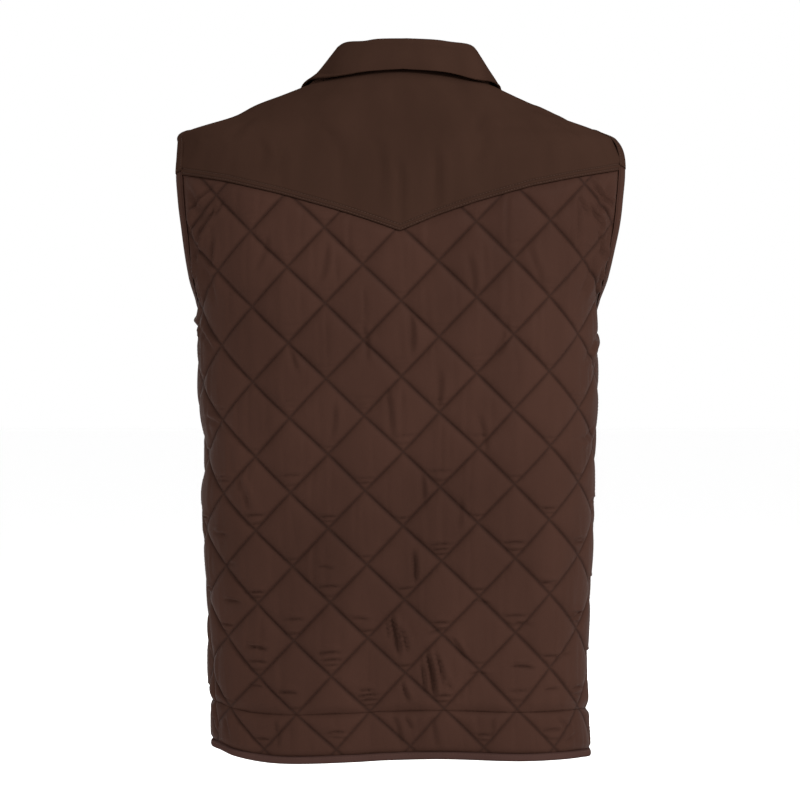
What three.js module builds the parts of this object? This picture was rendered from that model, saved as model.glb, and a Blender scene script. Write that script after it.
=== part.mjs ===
// Quilted vest, worn shape without a wearer, in millimetres.
// The origin is on the centre plane, level with the points where the shoulders meet the neck.
// +Z points up, the back faces +Y, the front faces -Y and the wearer's left side is +X.

import * as THREE from 'three';

// Cloth and quilting sizes
const SEAM_WALL = 2.0; // quilted wall along a stitch line
const PUFF = 3.9; // how far a diamond rises above its stitch lines
const PUFF_SHAPE = 0.6; // lower is flatter on top
const PLAIN_WALL = 3.0; // yokes
const YOKE_RIM = 0.7; // extra rise of the yoke along its lower edge
const YOKE_RIM_WIDTH = 14;
const BINDING_WALL = 4.6;
const PLACKET_WALL = 4.6;
const COLLAR_WALL = 2.4;
const SEAM_GAP = 0.5; // between neighbouring pieces
const DIAMOND = 72; // corner to corner, two-inch quilting
const CELL = DIAMOND / 6; // grid step, so that creases fall on grid lines
const INSIDE_CELL = DIAMOND / 3;
const QUILT_TOP = -215.5; // level of one stitch crossing at the centre back
// Sideways drift of the middle row of crossings: level against distance from the centre back
const QUILT_DRIFT_ROWS = [
  [-60, 0], [-148.8, 0], [-214.3, -3.2], [-286, -3.2], [-358, -2.8], [-430, -4.7], [-502, -6],
  [-613, -8], [-700, -11],
];
// Tilt of the quilting: distance from the centre back against rise, and how it fades by level
const QUILT_TILT_ROWS = [
  [-260, 6], [-185, 5.7], [-148, 5.4], [-110, 4.4], [-75, 3.4], [-40, 2], [0, 0], [33, -1.4],
  [70, -2.2], [105, -3.6], [142, -5], [180, -5.4], [260, -5.8],
];
const QUILT_TILT_FADE_COLUMNS = ['z', 'right', 'left'];
const QUILT_TILT_FADE_ROWS = [
  [-60, 1, 1], [-430, 1, 1], [-466, 1, 0.85], [-502, 1, 0.7], [-538, 1, 0.6], [-574, 1, 0.4],
  [-613, 0.4, 0.2], [-655, -0.2, 0],
];

// Levels and edges
const BODY_END = -613; // seam between body and hem band
const BAND_END = -653.6; // seam between hem band and binding
const HEM = -661;
const PLACKET_HALF = 18;
const FRONT_SEAM = { middle: -112, side: -98, reach: 220 }; // straight front yoke seam

// Armhole edge seen from the side, a rounded oval
const ARMHOLE = { y: -3, z: -130.5, halfDepth: 63, halfHeight: 84.5, power: 2.3 };

// Neckline: level at the back, dropping to the centre front
const NECK = { level: 0, drop: 75, halfWidth: 92, widthPower: 2.0, dropPower: 1.6 };
const NECK_LIFT = { height: 12, flat: 40, reach: 50 }; // higher line across the centre back

// Horizontal sections. half: half width; back and front: depth from the middle line y = middle;
// shift: sideways offset; backPower and frontPower: roundness, 2 is an ellipse, more is squarer.
const SECTION_COLUMNS = ['z', 'half', 'back', 'front', 'shift', 'middle', 'backPower', 'frontPower'];
const SECTION_ROWS = [
  [14, 70, 64, 78, 1.0, 0, 2.10, 2.00],
  [0, 92, 80, 84, 1.0, 0, 2.15, 2.00],
  [-10.5, 115, 87, 86, 3.0, 0, 2.20, 1.95],
  [-20.5, 139, 93, 89, 5.5, 0, 2.25, 1.90],
  [-32.5, 163, 98, 93, 5.0, 0, 2.30, 1.90],
  [-44.5, 199, 103, 97, 8.0, 0, 2.40, 1.95],
  [-49.5, 210, 105, 98.5, 8.5, 0, 2.43, 1.97],
  [-56, 218, 107.5, 100.5, 3.0, 0, 2.48, 2.02],
  [-70, 225.5, 112, 105, 0.0, 0, 2.55, 2.10],
  [-90, 230, 116, 111, 0.0, 0, 2.60, 2.20],
  [-115, 229, 119, 117, 0.2, 0, 2.65, 2.30],
  [-140, 224.5, 121, 122, 0.2, 0, 2.70, 2.40],
  [-165, 217.5, 121, 126, 1.2, 0, 2.75, 2.45],
  [-190, 208, 120, 129, 2.0, 0, 2.80, 2.50],
  [-213, 197, 119, 130, 2.8, 0, 2.85, 2.55],
  [-235, 194, 118, 130, 3.0, -1, 2.90, 2.60],
  [-270, 194, 115, 130, 2.5, -2, 2.90, 2.60],
  [-310, 194, 112, 129, 2.5, -4, 2.90, 2.60],
  [-360, 189.5, 108, 128, 0.5, -8, 2.90, 2.60],
  [-410, 191.5, 104, 126, 2.5, -13, 2.85, 2.60],
  [-470, 189.5, 101, 122, 2.0, -19, 2.80, 2.60],
  [-530, 186.5, 98, 116, 2.6, -25, 2.75, 2.60],
  [-590, 186.5, 96, 110, 2.5, -30, 2.75, 2.60],
  [-657, 187, 94, 105, -0.5, -33, 2.75, 2.60],
  [-690, 187, 94, 105, -0.5, -33, 2.75, 2.60],
];

// Lower edge of the back yoke: distance along the cloth from the centre back against height
const YOKE_EDGE_ROWS = [
  [-260, -80.5], [-233.6, -84.4], [-172, -95.6], [-125, -105.6], [-70.6, -121.6], [-34.9, -134.1],
  [0, -148.8],
  [33, -137.6], [60.3, -128.8], [115.4, -112.9], [170.5, -99.6], [199, -94.5], [232.5, -89.1],
  [260, -85],
];

// Shoulder seam seen from above: distance from the centre against y
const SHOULDER_SEAM_ROWS = [[0, -40], [84, -16], [148, 0], [183, 18], [216, 30], [240, 36]];

// Sag of the hem round the back, by the distance along the cloth from the centre back
const HEM_SAG_ROWS = [
  [-330, 0], [-240, -8.5], [-190, -4.6], [-117, -3], [-43, 0.4], [15, -0.6], [44, -2.4],
  [103, -5.2], [134, -4.8], [169, -1], [193, 3.2], [240, 1.5], [330, 0],
];
const SAG_TOP = -420; // the sag fades out up to this level

// Side seams: level against the distance along the cloth from the centre back
const SIDE_LEFT_ROWS = [[-200, 262], [-300, 255], [-450, 232], [-560, 205], [-690, 189]];
const SIDE_RIGHT_ROWS = [[-200, 262], [-300, 257], [-450, 245], [-560, 232], [-690, 226]];

// Collar stations over half the neckline. share: 0 at the centre back, 1 at the centre front;
// fold: top of the roll; edge: outer edge of the fall.
const COLLAR_COLUMNS = ['share', 'foldX', 'foldY', 'foldZ', 'edgeX', 'edgeY', 'edgeZ'];
const COLLAR_ROWS = [
  [0.00, 0, 67, 40.6, 0, 79.5, 10.6],
  [0.15, 33.5, 61, 39.9, 42, 76, 7.7],
  [0.30, 56.5, 42, 37, 75, 56, 1.4],
  [0.44, 63.5, 6, 29.6, 94, 10, 0.5],
  [0.58, 67, -32, 22, 102.5, -36, -1.5],
  [0.72, 66, -66, 5, 99.5, -79.5, -29],
  [0.86, 45, -89, -25, 86, -104, -64],
  [1.00, 5, -99, -44, 60, -116, -94],
];
const COLLAR_ROLL = 3.3; // radius of the roll at the fold, to the middle of the cloth
const FOLD_SHIFT = -6.2; // the collar sits a little off centre
const EDGE_SHIFT = -2.4;

// Snap caps on the placket
const SNAP = { first: -100, step: -99, count: 6, radius: 7.5, height: 2.0, seat: 0.3, sides: 20 };

// Row and column grids for the plain pieces
const YOKE_LEVELS = [
  13, 9, 4.5, 0, -3, -7, -12, -18, -25, -33, -42, -51, -62, -75, -90, -105, -120, -135, -150, -165,
];
const YOKE_COLUMNS = 58;

// Curves
function smooth(x, rows, column) {
  const n = rows.length;
  const up = rows[n - 1][0] > rows[0][0];
  const at = (k) => rows[up ? k : n - 1 - k];
  const value = Math.min(Math.max(x, at(0)[0]), at(n - 1)[0]);
  let i = 0;
  while (i < n - 2 && value >= at(i + 1)[0]) i += 1;
  const slope = (k) => {
    const a = at(Math.max(k - 1, 0));
    const b = at(Math.min(k + 1, n - 1));
    return (b[column] - a[column]) / (b[0] - a[0]);
  };
  const h = at(i + 1)[0] - at(i)[0];
  const t = (value - at(i)[0]) / h;
  const t2 = t * t;
  const t3 = t2 * t;
  return (2 * t3 - 3 * t2 + 1) * at(i)[column] + (t3 - 2 * t2 + t) * h * slope(i)
    + (3 * t2 - 2 * t3) * at(i + 1)[column] + (t3 - t2) * h * slope(i + 1);
}

function straight(x, rows) {
  const n = rows.length;
  const up = rows[n - 1][0] > rows[0][0];
  const at = (k) => rows[up ? k : n - 1 - k];
  const value = Math.min(Math.max(x, at(0)[0]), at(n - 1)[0]);
  let i = 0;
  while (i < n - 2 && value >= at(i + 1)[0]) i += 1;
  const t = (value - at(i)[0]) / (at(i + 1)[0] - at(i)[0]);
  return at(i)[1] + t * (at(i + 1)[1] - at(i)[1]);
}

function step01(t) {
  const c = Math.min(Math.max(t, 0), 1);
  return c * c * (3 - 2 * c);
}

// The form: one closed horizontal section per level
const sectionCache = new Map();
const ARC_STEPS = 360;
function section(z) {
  const key = Math.round(z * 50);
  if (sectionCache.has(key)) return sectionCache.get(key);
  const row = {};
  SECTION_COLUMNS.forEach((name, k) => {
    row[name] = k === 0 ? key / 50 : smooth(key / 50, SECTION_ROWS, k);
  });
  row.arc = [0];
  let last = sectionPoint(row, 0);
  for (let k = 1; k <= ARC_STEPS; k += 1) {
    const next = sectionPoint(row, (Math.PI * k) / ARC_STEPS);
    row.arc.push(row.arc[k - 1] + Math.hypot(next[0] - last[0], next[1] - last[1]));
    last = next;
  }
  row.length = row.arc[ARC_STEPS];
  sectionCache.set(key, row);
  return row;
}

function sectionPoint(row, angle) {
  const s = Math.sin(angle);
  const c = Math.cos(angle);
  const power = 2 / (c > 0 ? row.backPower : row.frontPower);
  const x = row.shift + row.half * Math.sign(s) * Math.abs(s) ** power;
  const y = row.middle + (c > 0 ? row.back : row.front) * Math.sign(c) * Math.abs(c) ** power;
  return [x, y];
}

// Point of the form at a distance s along the cloth from the centre back, left side positive
function formPoint(s, z) {
  const row = section(z);
  const run = Math.min(Math.abs(s), 2 * row.length - Math.abs(s));
  let low = 0;
  let high = ARC_STEPS;
  while (high - low > 1) {
    const mid = (low + high) >> 1;
    if (row.arc[mid] <= run) low = mid;
    else high = mid;
  }
  const t = (run - row.arc[low]) / Math.max(row.arc[high] - row.arc[low], 1e-9);
  const beyond = Math.abs(s) > row.length ? -1 : 1;
  const side = Math.sign(s || 1) * beyond;
  const a = sectionPoint(row, (Math.PI * low) / ARC_STEPS);
  const b = sectionPoint(row, (Math.PI * high) / ARC_STEPS);
  const x = row.shift + side * (a[0] - row.shift + t * (b[0] - a[0]));
  const y = a[1] + t * (b[1] - a[1]);
  const fade = step01((SAG_TOP - z) / (SAG_TOP - HEM));
  const sag = smooth(side * run, HEM_SAG_ROWS, 1) * fade;
  return new THREE.Vector3(x, y, z + sag);
}

function frontY(x, z) {
  const row = section(z);
  const share = Math.min(Math.abs((x - row.shift) / row.half), 1);
  return row.middle - row.front * (1 - share ** row.frontPower) ** (1 / row.frontPower);
}

function outwards(point, u, v) {
  const h = 0.5;
  const du = point(u + h, v).sub(point(u - h, v));
  const dv = point(u, v + h).sub(point(u, v - h));
  const n = du.cross(dv).normalize();
  const here = point(u, v);
  const row = section(Math.max(Math.min(here.z, 0), -660));
  const hub = new THREE.Vector3(row.shift, row.middle, here.z - 40);
  if (n.dot(here.clone().sub(hub)) < 0) n.negate();
  return n;
}

// Edges, each as a distance in mm that is positive on the cloth's side
function armholeEdge(p) {
  const a = Math.abs((p.y - ARMHOLE.y) / ARMHOLE.halfDepth) ** ARMHOLE.power;
  const b = Math.abs((p.z - ARMHOLE.z) / ARMHOLE.halfHeight) ** ARMHOLE.power;
  return ((a + b) ** (1 / ARMHOLE.power) - 1) * 70;
}

function neckLift(x) {
  return NECK_LIFT.height * (1 - step01((Math.abs(x) - NECK_LIFT.flat) / NECK_LIFT.reach));
}

function neckEdge(p) {
  if (p.y > 0) return NECK.level - p.z;
  const a = Math.abs((p.x - section(0).shift) / NECK.halfWidth) ** NECK.widthPower;
  const b = Math.abs(Math.min(p.z, 0) / NECK.drop) ** NECK.dropPower;
  return (a + b - 1) * 40;
}

function yokeLine(s, z) {
  return z - straight(s, YOKE_EDGE_ROWS);
}

function frontYokeLine(p) {
  const share = Math.abs(p.x) / FRONT_SEAM.reach;
  return p.z - (FRONT_SEAM.middle + (FRONT_SEAM.side - FRONT_SEAM.middle) * share);
}

function shoulderLine(p) {
  return p.y - straight(Math.abs(p.x), SHOULDER_SEAM_ROWS);
}

function sideRows(side) {
  return side > 0 ? SIDE_LEFT_ROWS : SIDE_RIGHT_ROWS;
}

// Quilting: rise above the stitch lines at lattice position a across, b up
function puff(a, b) {
  const u = Math.abs(Math.sin((Math.PI * (a + b)) / DIAMOND));
  const v = Math.abs(Math.sin((Math.PI * (a - b)) / DIAMOND));
  return (u * v) ** PUFF_SHAPE;
}

// Meshing of a trimmed panel
function trimmedSheet(grid, edges, point, offset) {
  const ids = new Map();
  const verts = [];
  const make = (u, v) => {
    const p = point(u, v);
    verts.push({ u, v, f: edges.map((edge) => edge(p, u, v)), on: edges.map(() => false) });
    return verts.length - 1;
  };
  const refresh = (w) => {
    const p = point(w.u, w.v);
    w.f = edges.map((edge, k) => (w.on[k] ? 0 : edge(p, w.u, w.v)));
  };
  const newton = (w, k) => {
    for (let turn = 0; turn < 6; turn += 1) {
      const value = edges[k](point(w.u, w.v), w.u, w.v);
      const eu = grid.du * 0.02;
      const ev = grid.dv * 0.02;
      const held = Math.abs(w.u - grid.middle) < 1e-9;
      const gu = held ? 0 : (edges[k](point(w.u + eu, w.v), w.u + eu, w.v) - value) / 0.02;
      const gv = (edges[k](point(w.u, w.v + ev), w.u, w.v + ev) - value) / 0.02;
      const size = gu * gu + gv * gv;
      if (size < 1e-9) return false;
      const du = Math.max(-1, Math.min(1, (-value * gu) / size));
      const dv = Math.max(-1, Math.min(1, (-value * gv) / size));
      w.u += du * grid.du;
      w.v += dv * grid.dv;
      if (Math.abs(value) < 1e-5) break;
    }
    return true;
  };
  for (let i = 0; i <= grid.nu; i += 1) {
    for (let j = 0; j <= grid.nv; j += 1) {
      ids.set(i * 1000 + j, make(grid.u0 + i * grid.du, grid.v0 + j * grid.dv));
    }
  }
  const snap = grid.snap;
  verts.forEach((w) => {
    const start = { u: w.u, v: w.v };
    edges.forEach((edge, k) => {
      if (Math.abs(w.f[k]) < snap) {
        const before = { u: w.u, v: w.v };
        const fine = newton(w, k);
        const far = Math.hypot((w.u - start.u) / grid.du, (w.v - start.v) / grid.dv);
        if (fine && far < 0.49) {
          w.on[k] = true;
        } else {
          w.u = before.u;
          w.v = before.v;
        }
        refresh(w);
      }
    });
    // A corner vertex may have slipped off the first edge while moving to the second
    edges.forEach((edge, k) => {
      if (w.on[k] && Math.abs(edge(point(w.u, w.v), w.u, w.v)) > 0.02) {
        newton(w, k);
      }
    });
    refresh(w);
  });
  let polys = [];
  for (let i = 0; i < grid.nu; i += 1) {
    for (let j = 0; j < grid.nv; j += 1) {
      const a = ids.get(i * 1000 + j);
      const b = ids.get((i + 1) * 1000 + j);
      const c = ids.get((i + 1) * 1000 + j + 1);
      const d = ids.get(i * 1000 + j + 1);
      if (grid.split(i, j)) polys.push([a, b, d], [b, c, d]);
      else polys.push([a, b, c], [a, c, d]);
    }
  }
  const cuts = new Map();
  edges.forEach((edge, k) => {
    const kept = [];
    const cut = (a, b) => {
      const key = `${Math.min(a, b)}_${Math.max(a, b)}_${k}`;
      if (cuts.has(key)) return cuts.get(key);
      let low = verts[a].f[k] < 0 ? verts[a] : verts[b];
      let high = verts[a].f[k] < 0 ? verts[b] : verts[a];
      low = { u: low.u, v: low.v };
      high = { u: high.u, v: high.v };
      for (let turn = 0; turn < 30; turn += 1) {
        const u = (low.u + high.u) / 2;
        const v = (low.v + high.v) / 2;
        const value = edge(point(u, v), u, v);
        if (value < 0) low = { u, v };
        else high = { u, v };
      }
      const id = make(high.u, high.v);
      verts[id].on = verts[id].on.map((_, m) => m === k || (verts[a].on[m] && verts[b].on[m]));
      refresh(verts[id]);
      cuts.set(key, id);
      return id;
    };
    polys.forEach((poly) => {
      if (poly.every((id) => verts[id].f[k] >= -1e-9)) {
        kept.push(poly);
        return;
      }
      if (poly.every((id) => verts[id].f[k] <= 1e-9)) return;
      const out = [];
      poly.forEach((id, m) => {
        const next = poly[(m + 1) % poly.length];
        const here = verts[id].f[k];
        const there = verts[next].f[k];
        if (here >= -1e-9) out.push(id);
        if ((here < -1e-9 && there > 1e-9) || (here > 1e-9 && there < -1e-9)) out.push(cut(id, next));
      });
      if (out.length >= 3) kept.push(out);
    });
    polys = kept;
  });
  let tris = [];
  polys.forEach((poly) => {
    for (let m = 1; m < poly.length - 1; m += 1) tris.push([poly[0], poly[m], poly[m + 1]]);
  });
  const points = verts.map((w) => {
    const p = point(w.u, w.v);
    return p.addScaledVector(outwards(point, w.u, w.v), offset(w.u, w.v, w));
  });
  // Vertices that almost coincide become one
  const root = verts.map((_, k) => k);
  const find = (k) => {
    let r = k;
    while (root[r] !== r) r = root[r];
    return r;
  };
  tris.forEach((t) => {
    for (let m = 0; m < 3; m += 1) {
      const a = find(t[m]);
      const b = find(t[(m + 1) % 3]);
      if (a !== b && points[a].distanceTo(points[b]) < grid.merge) {
        const weight = (k) => verts[k].on.filter(Boolean).length;
        if (weight(a) >= weight(b)) root[b] = a;
        else root[a] = b;
      }
    }
  });
  tris = tris.map((t) => t.map(find)).filter((t) => t[0] !== t[1] && t[1] !== t[2] && t[0] !== t[2]);
  const seen = new Set();
  tris = tris.filter((t) => {
    const key = [...t].sort((a, b) => a - b).join('_');
    if (seen.has(key)) return false;
    seen.add(key);
    return true;
  });
  return { points, tris, loop: borderLoop(tris) };
}

// The longest chain of edges that only one triangle uses, in the triangles' own direction
function borderLoop(tris) {
  const used = new Map();
  tris.forEach((t) => {
    for (let m = 0; m < 3; m += 1) used.set(`${t[m]}_${t[(m + 1) % 3]}`, [t[m], t[(m + 1) % 3]]);
  });
  const next = new Map();
  used.forEach(([a, b]) => {
    if (!used.has(`${b}_${a}`)) next.set(a, b);
  });
  const loops = [];
  const done = new Set();
  next.forEach((_, start) => {
    if (done.has(start)) return;
    const loop = [];
    let k = start;
    while (k !== undefined && !done.has(k)) {
      done.add(k);
      loop.push(k);
      k = next.get(k);
    }
    loops.push(loop);
  });
  loops.sort((a, b) => b.length - a.length);
  return loops;
}

// Joins an outer and an inner sheet along their borders into one closed body
function closedBody(outer, inner) {
  const position = [];
  const index = [];
  const add = (p) => {
    position.push(p.x, p.y, p.z);
    return position.length / 3 - 1;
  };
  const outerIds = new Map();
  const innerIds = new Map();
  const outerId = (k) => {
    if (!outerIds.has(k)) outerIds.set(k, add(outer.points[k]));
    return outerIds.get(k);
  };
  const innerId = (k) => {
    if (!innerIds.has(k)) innerIds.set(k, add(inner.points[k]));
    return innerIds.get(k);
  };
  outer.tris.forEach((t) => index.push(...t.map(outerId)));
  inner.tris.forEach((t) => index.push(...[t[0], t[2], t[1]].map(innerId)));
  const a = outer.loop[0];
  let b = inner.loop[0];
  let best = 0;
  b.forEach((k, m) => {
    const near = inner.points[k].distanceTo(outer.points[a[0]]);
    if (near < inner.points[b[best]].distanceTo(outer.points[a[0]])) best = m;
  });
  b = b.slice(best).concat(b.slice(0, best));
  let i = 0;
  let j = 0;
  while (i < a.length || j < b.length) {
    const a0 = a[i % a.length];
    const a1 = a[(i + 1) % a.length];
    const b0 = b[j % b.length];
    const b1 = b[(j + 1) % b.length];
    const stepA = outer.points[a1].distanceTo(inner.points[b0]);
    const stepB = inner.points[b1].distanceTo(outer.points[a0]);
    if (j >= b.length || (i < a.length && stepA <= stepB)) {
      index.push(outerId(a1), outerId(a0), innerId(b0));
      i += 1;
    } else {
      index.push(innerId(b0), innerId(b1), outerId(a0));
      j += 1;
    }
  }
  return finish(position, index);
}

function finish(position, index) {
  const geometry = new THREE.BufferGeometry();
  geometry.setAttribute('position', new THREE.Float32BufferAttribute(position, 3));
  geometry.setIndex(index);
  let volume = 0;
  const p = (k) => new THREE.Vector3().fromArray(position, 3 * k);
  for (let k = 0; k < index.length; k += 3) {
    volume += p(index[k]).dot(p(index[k + 1]).cross(p(index[k + 2]))) / 6;
  }
  if (volume < 0) {
    for (let k = 0; k < index.length; k += 3) {
      const swap = index[k + 1];
      index[k + 1] = index[k + 2];
      index[k + 2] = swap;
    }
    geometry.setIndex(index);
  }
  geometry.computeVertexNormals();
  return geometry;
}

// A sheet whose outer and inner points are given row by row
function gridBody(outerRows, innerRows) {
  const rows = outerRows.length;
  const columns = outerRows[0].length;
  const position = [];
  const index = [];
  outerRows.flat().concat(innerRows.flat()).forEach((p) => position.push(p.x, p.y, p.z));
  const o = (r, c) => r * columns + c;
  const n = (r, c) => rows * columns + r * columns + c;
  for (let r = 0; r < rows - 1; r += 1) {
    for (let c = 0; c < columns - 1; c += 1) {
      index.push(o(r, c), o(r, c + 1), o(r + 1, c + 1), o(r, c), o(r + 1, c + 1), o(r + 1, c));
      index.push(n(r, c), n(r + 1, c + 1), n(r, c + 1), n(r, c), n(r + 1, c), n(r + 1, c + 1));
    }
  }
  const wall = (a0, a1, b0, b1) => index.push(a1, a0, b0, a1, b0, b1);
  for (let c = 0; c < columns - 1; c += 1) {
    wall(o(0, c), o(0, c + 1), n(0, c), n(0, c + 1));
    wall(o(rows - 1, c + 1), o(rows - 1, c), n(rows - 1, c + 1), n(rows - 1, c));
  }
  for (let r = 0; r < rows - 1; r += 1) {
    wall(o(r + 1, 0), o(r, 0), n(r + 1, 0), n(r, 0));
    wall(o(r, columns - 1), o(r + 1, columns - 1), n(r, columns - 1), n(r + 1, columns - 1));
  }
  return finish(position, index);
}

// Assembly
const vest = new THREE.Group();
vest.name = 'quilted_vest';
const COLOURS = {
  quilt: 0x46302a, twill: 0x44302a, binding: 0x48312a, snap: 0x8a8478,
};
function addNode(name, colour, roughness, geometry) {
  const material = new THREE.MeshStandardMaterial({ color: colour, roughness, metalness: 0 });
  material.name = name;
  const mesh = new THREE.Mesh(geometry, material);
  mesh.name = name;
  vest.add(mesh);
}

// Quilted panels. Lattice position a runs along the cloth, b runs up.
function quiltTilt(s, z) {
  const column = s > 0 ? 2 : 1;
  const fade = straight(z, QUILT_TILT_FADE_ROWS.map((row) => [row[0], row[column]]));
  return straight(s, QUILT_TILT_ROWS) * fade;
}
function backPlace(a, b) {
  const z = b + QUILT_TOP;
  const s = a + straight(z, QUILT_DRIFT_ROWS);
  return [s, z + quiltTilt(s, z)];
}
function backLattice(a, b) {
  return formPoint(...backPlace(a, b));
}
function frontLattice(side) {
  return (a, b) => {
    const z = b + QUILT_TOP;
    return formPoint(side * (section(z).length - a), z);
  };
}

function quiltedPanel(name, point, edges, span) {
  const lay = (cell, snap, merge) => {
    const u0 = Math.floor(span.a0 / DIAMOND) * DIAMOND;
    const v0 = Math.floor(span.b0 / DIAMOND) * DIAMOND;
    const nu = Math.ceil((span.a1 - u0) / cell) + 1;
    const nv = Math.ceil((span.b1 - v0) / cell) + 1;
    // Each cell is split along the stitch line that crosses it, the rest across the slope
    const split = (i, j) => {
      if (cell !== CELL) return true;
      if ((i + j + 1) % 6 === 0) return true;
      if ((((i - j) % 6) + 6) % 6 === 0) return false;
      const a = (i + 0.5) % 6;
      const b = (j + 0.5) % 6;
      return (a < 3) !== (b < 3);
    };
    return { u0, v0, nu, nv, du: cell, dv: cell, snap, merge, split, middle: span.middle };
  };
  const raise = (a, b, w) => {
    const near = Math.min(...w.f.map((f) => Math.abs(f)));
    const calm = step01((near + 3) / 15);
    const border = w.on.some(Boolean) ? 0 : calm;
    return SEAM_WALL + PUFF * puff(a, b) * border;
  };
  const outer = trimmedSheet(lay(CELL, 4.4, 2.6), edges, point, raise);
  const inner = trimmedSheet(lay(INSIDE_CELL, 7.2, 2.6), edges, point, () => 0);
  addNode(name, COLOURS.quilt, 0.7, closedBody(outer, inner));
}

const half = SEAM_GAP / 2;
const bodyFloor = (p, a, b) => b + QUILT_TOP - BODY_END - half;
const backFloor = (p, a, b) => backPlace(a, b)[1] - BODY_END - half;
const sideOfBack = (side) => (p, a, b) => {
  const [along, z] = backPlace(a, b);
  return straight(z, sideRows(side)) - half - side * along;
};
const sideOfFront = (side) => (p, a, b) => (
  section(b + QUILT_TOP).length - a - straight(b + QUILT_TOP, sideRows(side)) - half
);
const placketEdge = (p, a) => a - PLACKET_HALF - half;

quiltedPanel(
  'back_body',
  backLattice,
  [(p, a, b) => -yokeLine(...backPlace(a, b)) - half, armholeEdge, backFloor,
    sideOfBack(1), sideOfBack(-1)],
  { a0: -280, a1: 280, b0: BODY_END - 8 - QUILT_TOP, b1: -72 - QUILT_TOP, middle: 0 },
);
[['left', 1], ['right', -1]].forEach(([word, side]) => {
  quiltedPanel(
    `front_${word}`,
    frontLattice(side),
    [(p) => -frontYokeLine(p) - half, armholeEdge, bodyFloor, sideOfFront(side), placketEdge],
    { a0: 0, a1: 320, b0: BODY_END - QUILT_TOP, b1: -96 - QUILT_TOP },
  );
});

// Hem band
const bandTop = (p, a, b) => BODY_END - half - (b + QUILT_TOP);
const bandFloor = (p, a, b) => b + QUILT_TOP - BAND_END - half;
const backBandTop = (p, a, b) => BODY_END - half - backPlace(a, b)[1];
const backBandFloor = (p, a, b) => backPlace(a, b)[1] - BAND_END - half;
const bandSpan = { b0: BAND_END - 4 - QUILT_TOP, b1: BODY_END + 4 - QUILT_TOP };
quiltedPanel(
  'hem_band_back',
  backLattice,
  [backBandTop, backBandFloor, sideOfBack(1), sideOfBack(-1)],
  { a0: -250, a1: 250, ...bandSpan },
);
[['left', 1], ['right', -1]].forEach(([word, side]) => {
  quiltedPanel(
    `hem_band_front_${word}`,
    frontLattice(side),
    [bandTop, bandFloor, sideOfFront(side), placketEdge],
    { a0: 0, a1: 320, ...bandSpan },
  );
});

// Hem binding, one length from placket edge to placket edge round the back
{
  const columns = 60;
  const levels = [BAND_END - SEAM_GAP, (BAND_END + HEM) / 2, HEM];
  const rise = [BINDING_WALL - 1.2, BINDING_WALL, BINDING_WALL - 1.2];
  const outer = [];
  const inner = [];
  levels.forEach((z, r) => {
    const end = section(z).length - PLACKET_HALF - half;
    const outerRow = [];
    const innerRow = [];
    for (let c = 0; c <= columns; c += 1) {
      const s = -end + (2 * end * c) / columns;
      const n = outwards(formPoint, s, z);
      outerRow.push(formPoint(s, z).addScaledVector(n, rise[r]));
      innerRow.push(formPoint(s, z));
    }
    outer.push(outerRow);
    inner.push(innerRow);
  });
  addNode('hem_binding', COLOURS.binding, 0.75, gridBody(outer, inner));
}

// Yokes. u is a share of the half section in grid columns, v counts the rows of YOKE_LEVELS.
function yokeLevel(v) {
  const rows = YOKE_LEVELS.map((z, k) => [k, z]);
  const last = YOKE_LEVELS.length - 1;
  if (v < 0) return YOKE_LEVELS[0] - v * 3;
  if (v > last) return YOKE_LEVELS[last] - (v - last) * 15;
  return smooth(v, rows, 1);
}
function yokePoint(u, v) {
  return formPoint(yokeRun(u, v), yokeLevel(v));
}
function yokePanel(name, edges, u0, u1) {
  const lay = (step, snap) => ({
    u0, v0: 0, du: step, dv: step, nu: Math.round((u1 - u0) / step), nv: Math.ceil(19 / step),
    snap, merge: 1.6, split: (i) => (i * step + u0) < 0, middle: 0,
  });
  const raise = (u, v, w) => PLAIN_WALL + YOKE_RIM * (1 - step01(w.f[0] / YOKE_RIM_WIDTH));
  const outer = trimmedSheet(lay(1, 2.2), edges, yokePoint, raise);
  const inner = trimmedSheet(lay(2, 4.4), edges, yokePoint, () => 0);
  addNode(name, COLOURS.twill, 0.85, closedBody(outer, inner));
}
const yokeRun = (u, v) => (u / YOKE_COLUMNS) * 2 * section(yokeLevel(v)).length;
const yokeHem = (p, u, v) => yokeLine(yokeRun(u, v), yokeLevel(v)) - half;
const neckBack = (p) => NECK.level + neckLift(p.x) - half - p.z;
yokePanel(
  'back_yoke',
  [yokeHem, (p) => shoulderLine(p) - half, armholeEdge, neckBack],
  -18,
  18,
);
[['left', 1], ['right', -1]].forEach(([word, side]) => {
  const placket = (p, u, v) => {
    const full = section(yokeLevel(v)).length;
    return full * (1 - (side * u * 2) / YOKE_COLUMNS) - PLACKET_HALF - half;
  };
  yokePanel(
    `front_yoke_${word}`,
    [(p) => frontYokeLine(p) - half, (p) => -shoulderLine(p) - half, armholeEdge,
      (p) => neckEdge(p) - half, placket],
    side > 0 ? 8 : -30,
    side > 0 ? 30 : -8,
  );
});

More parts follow.
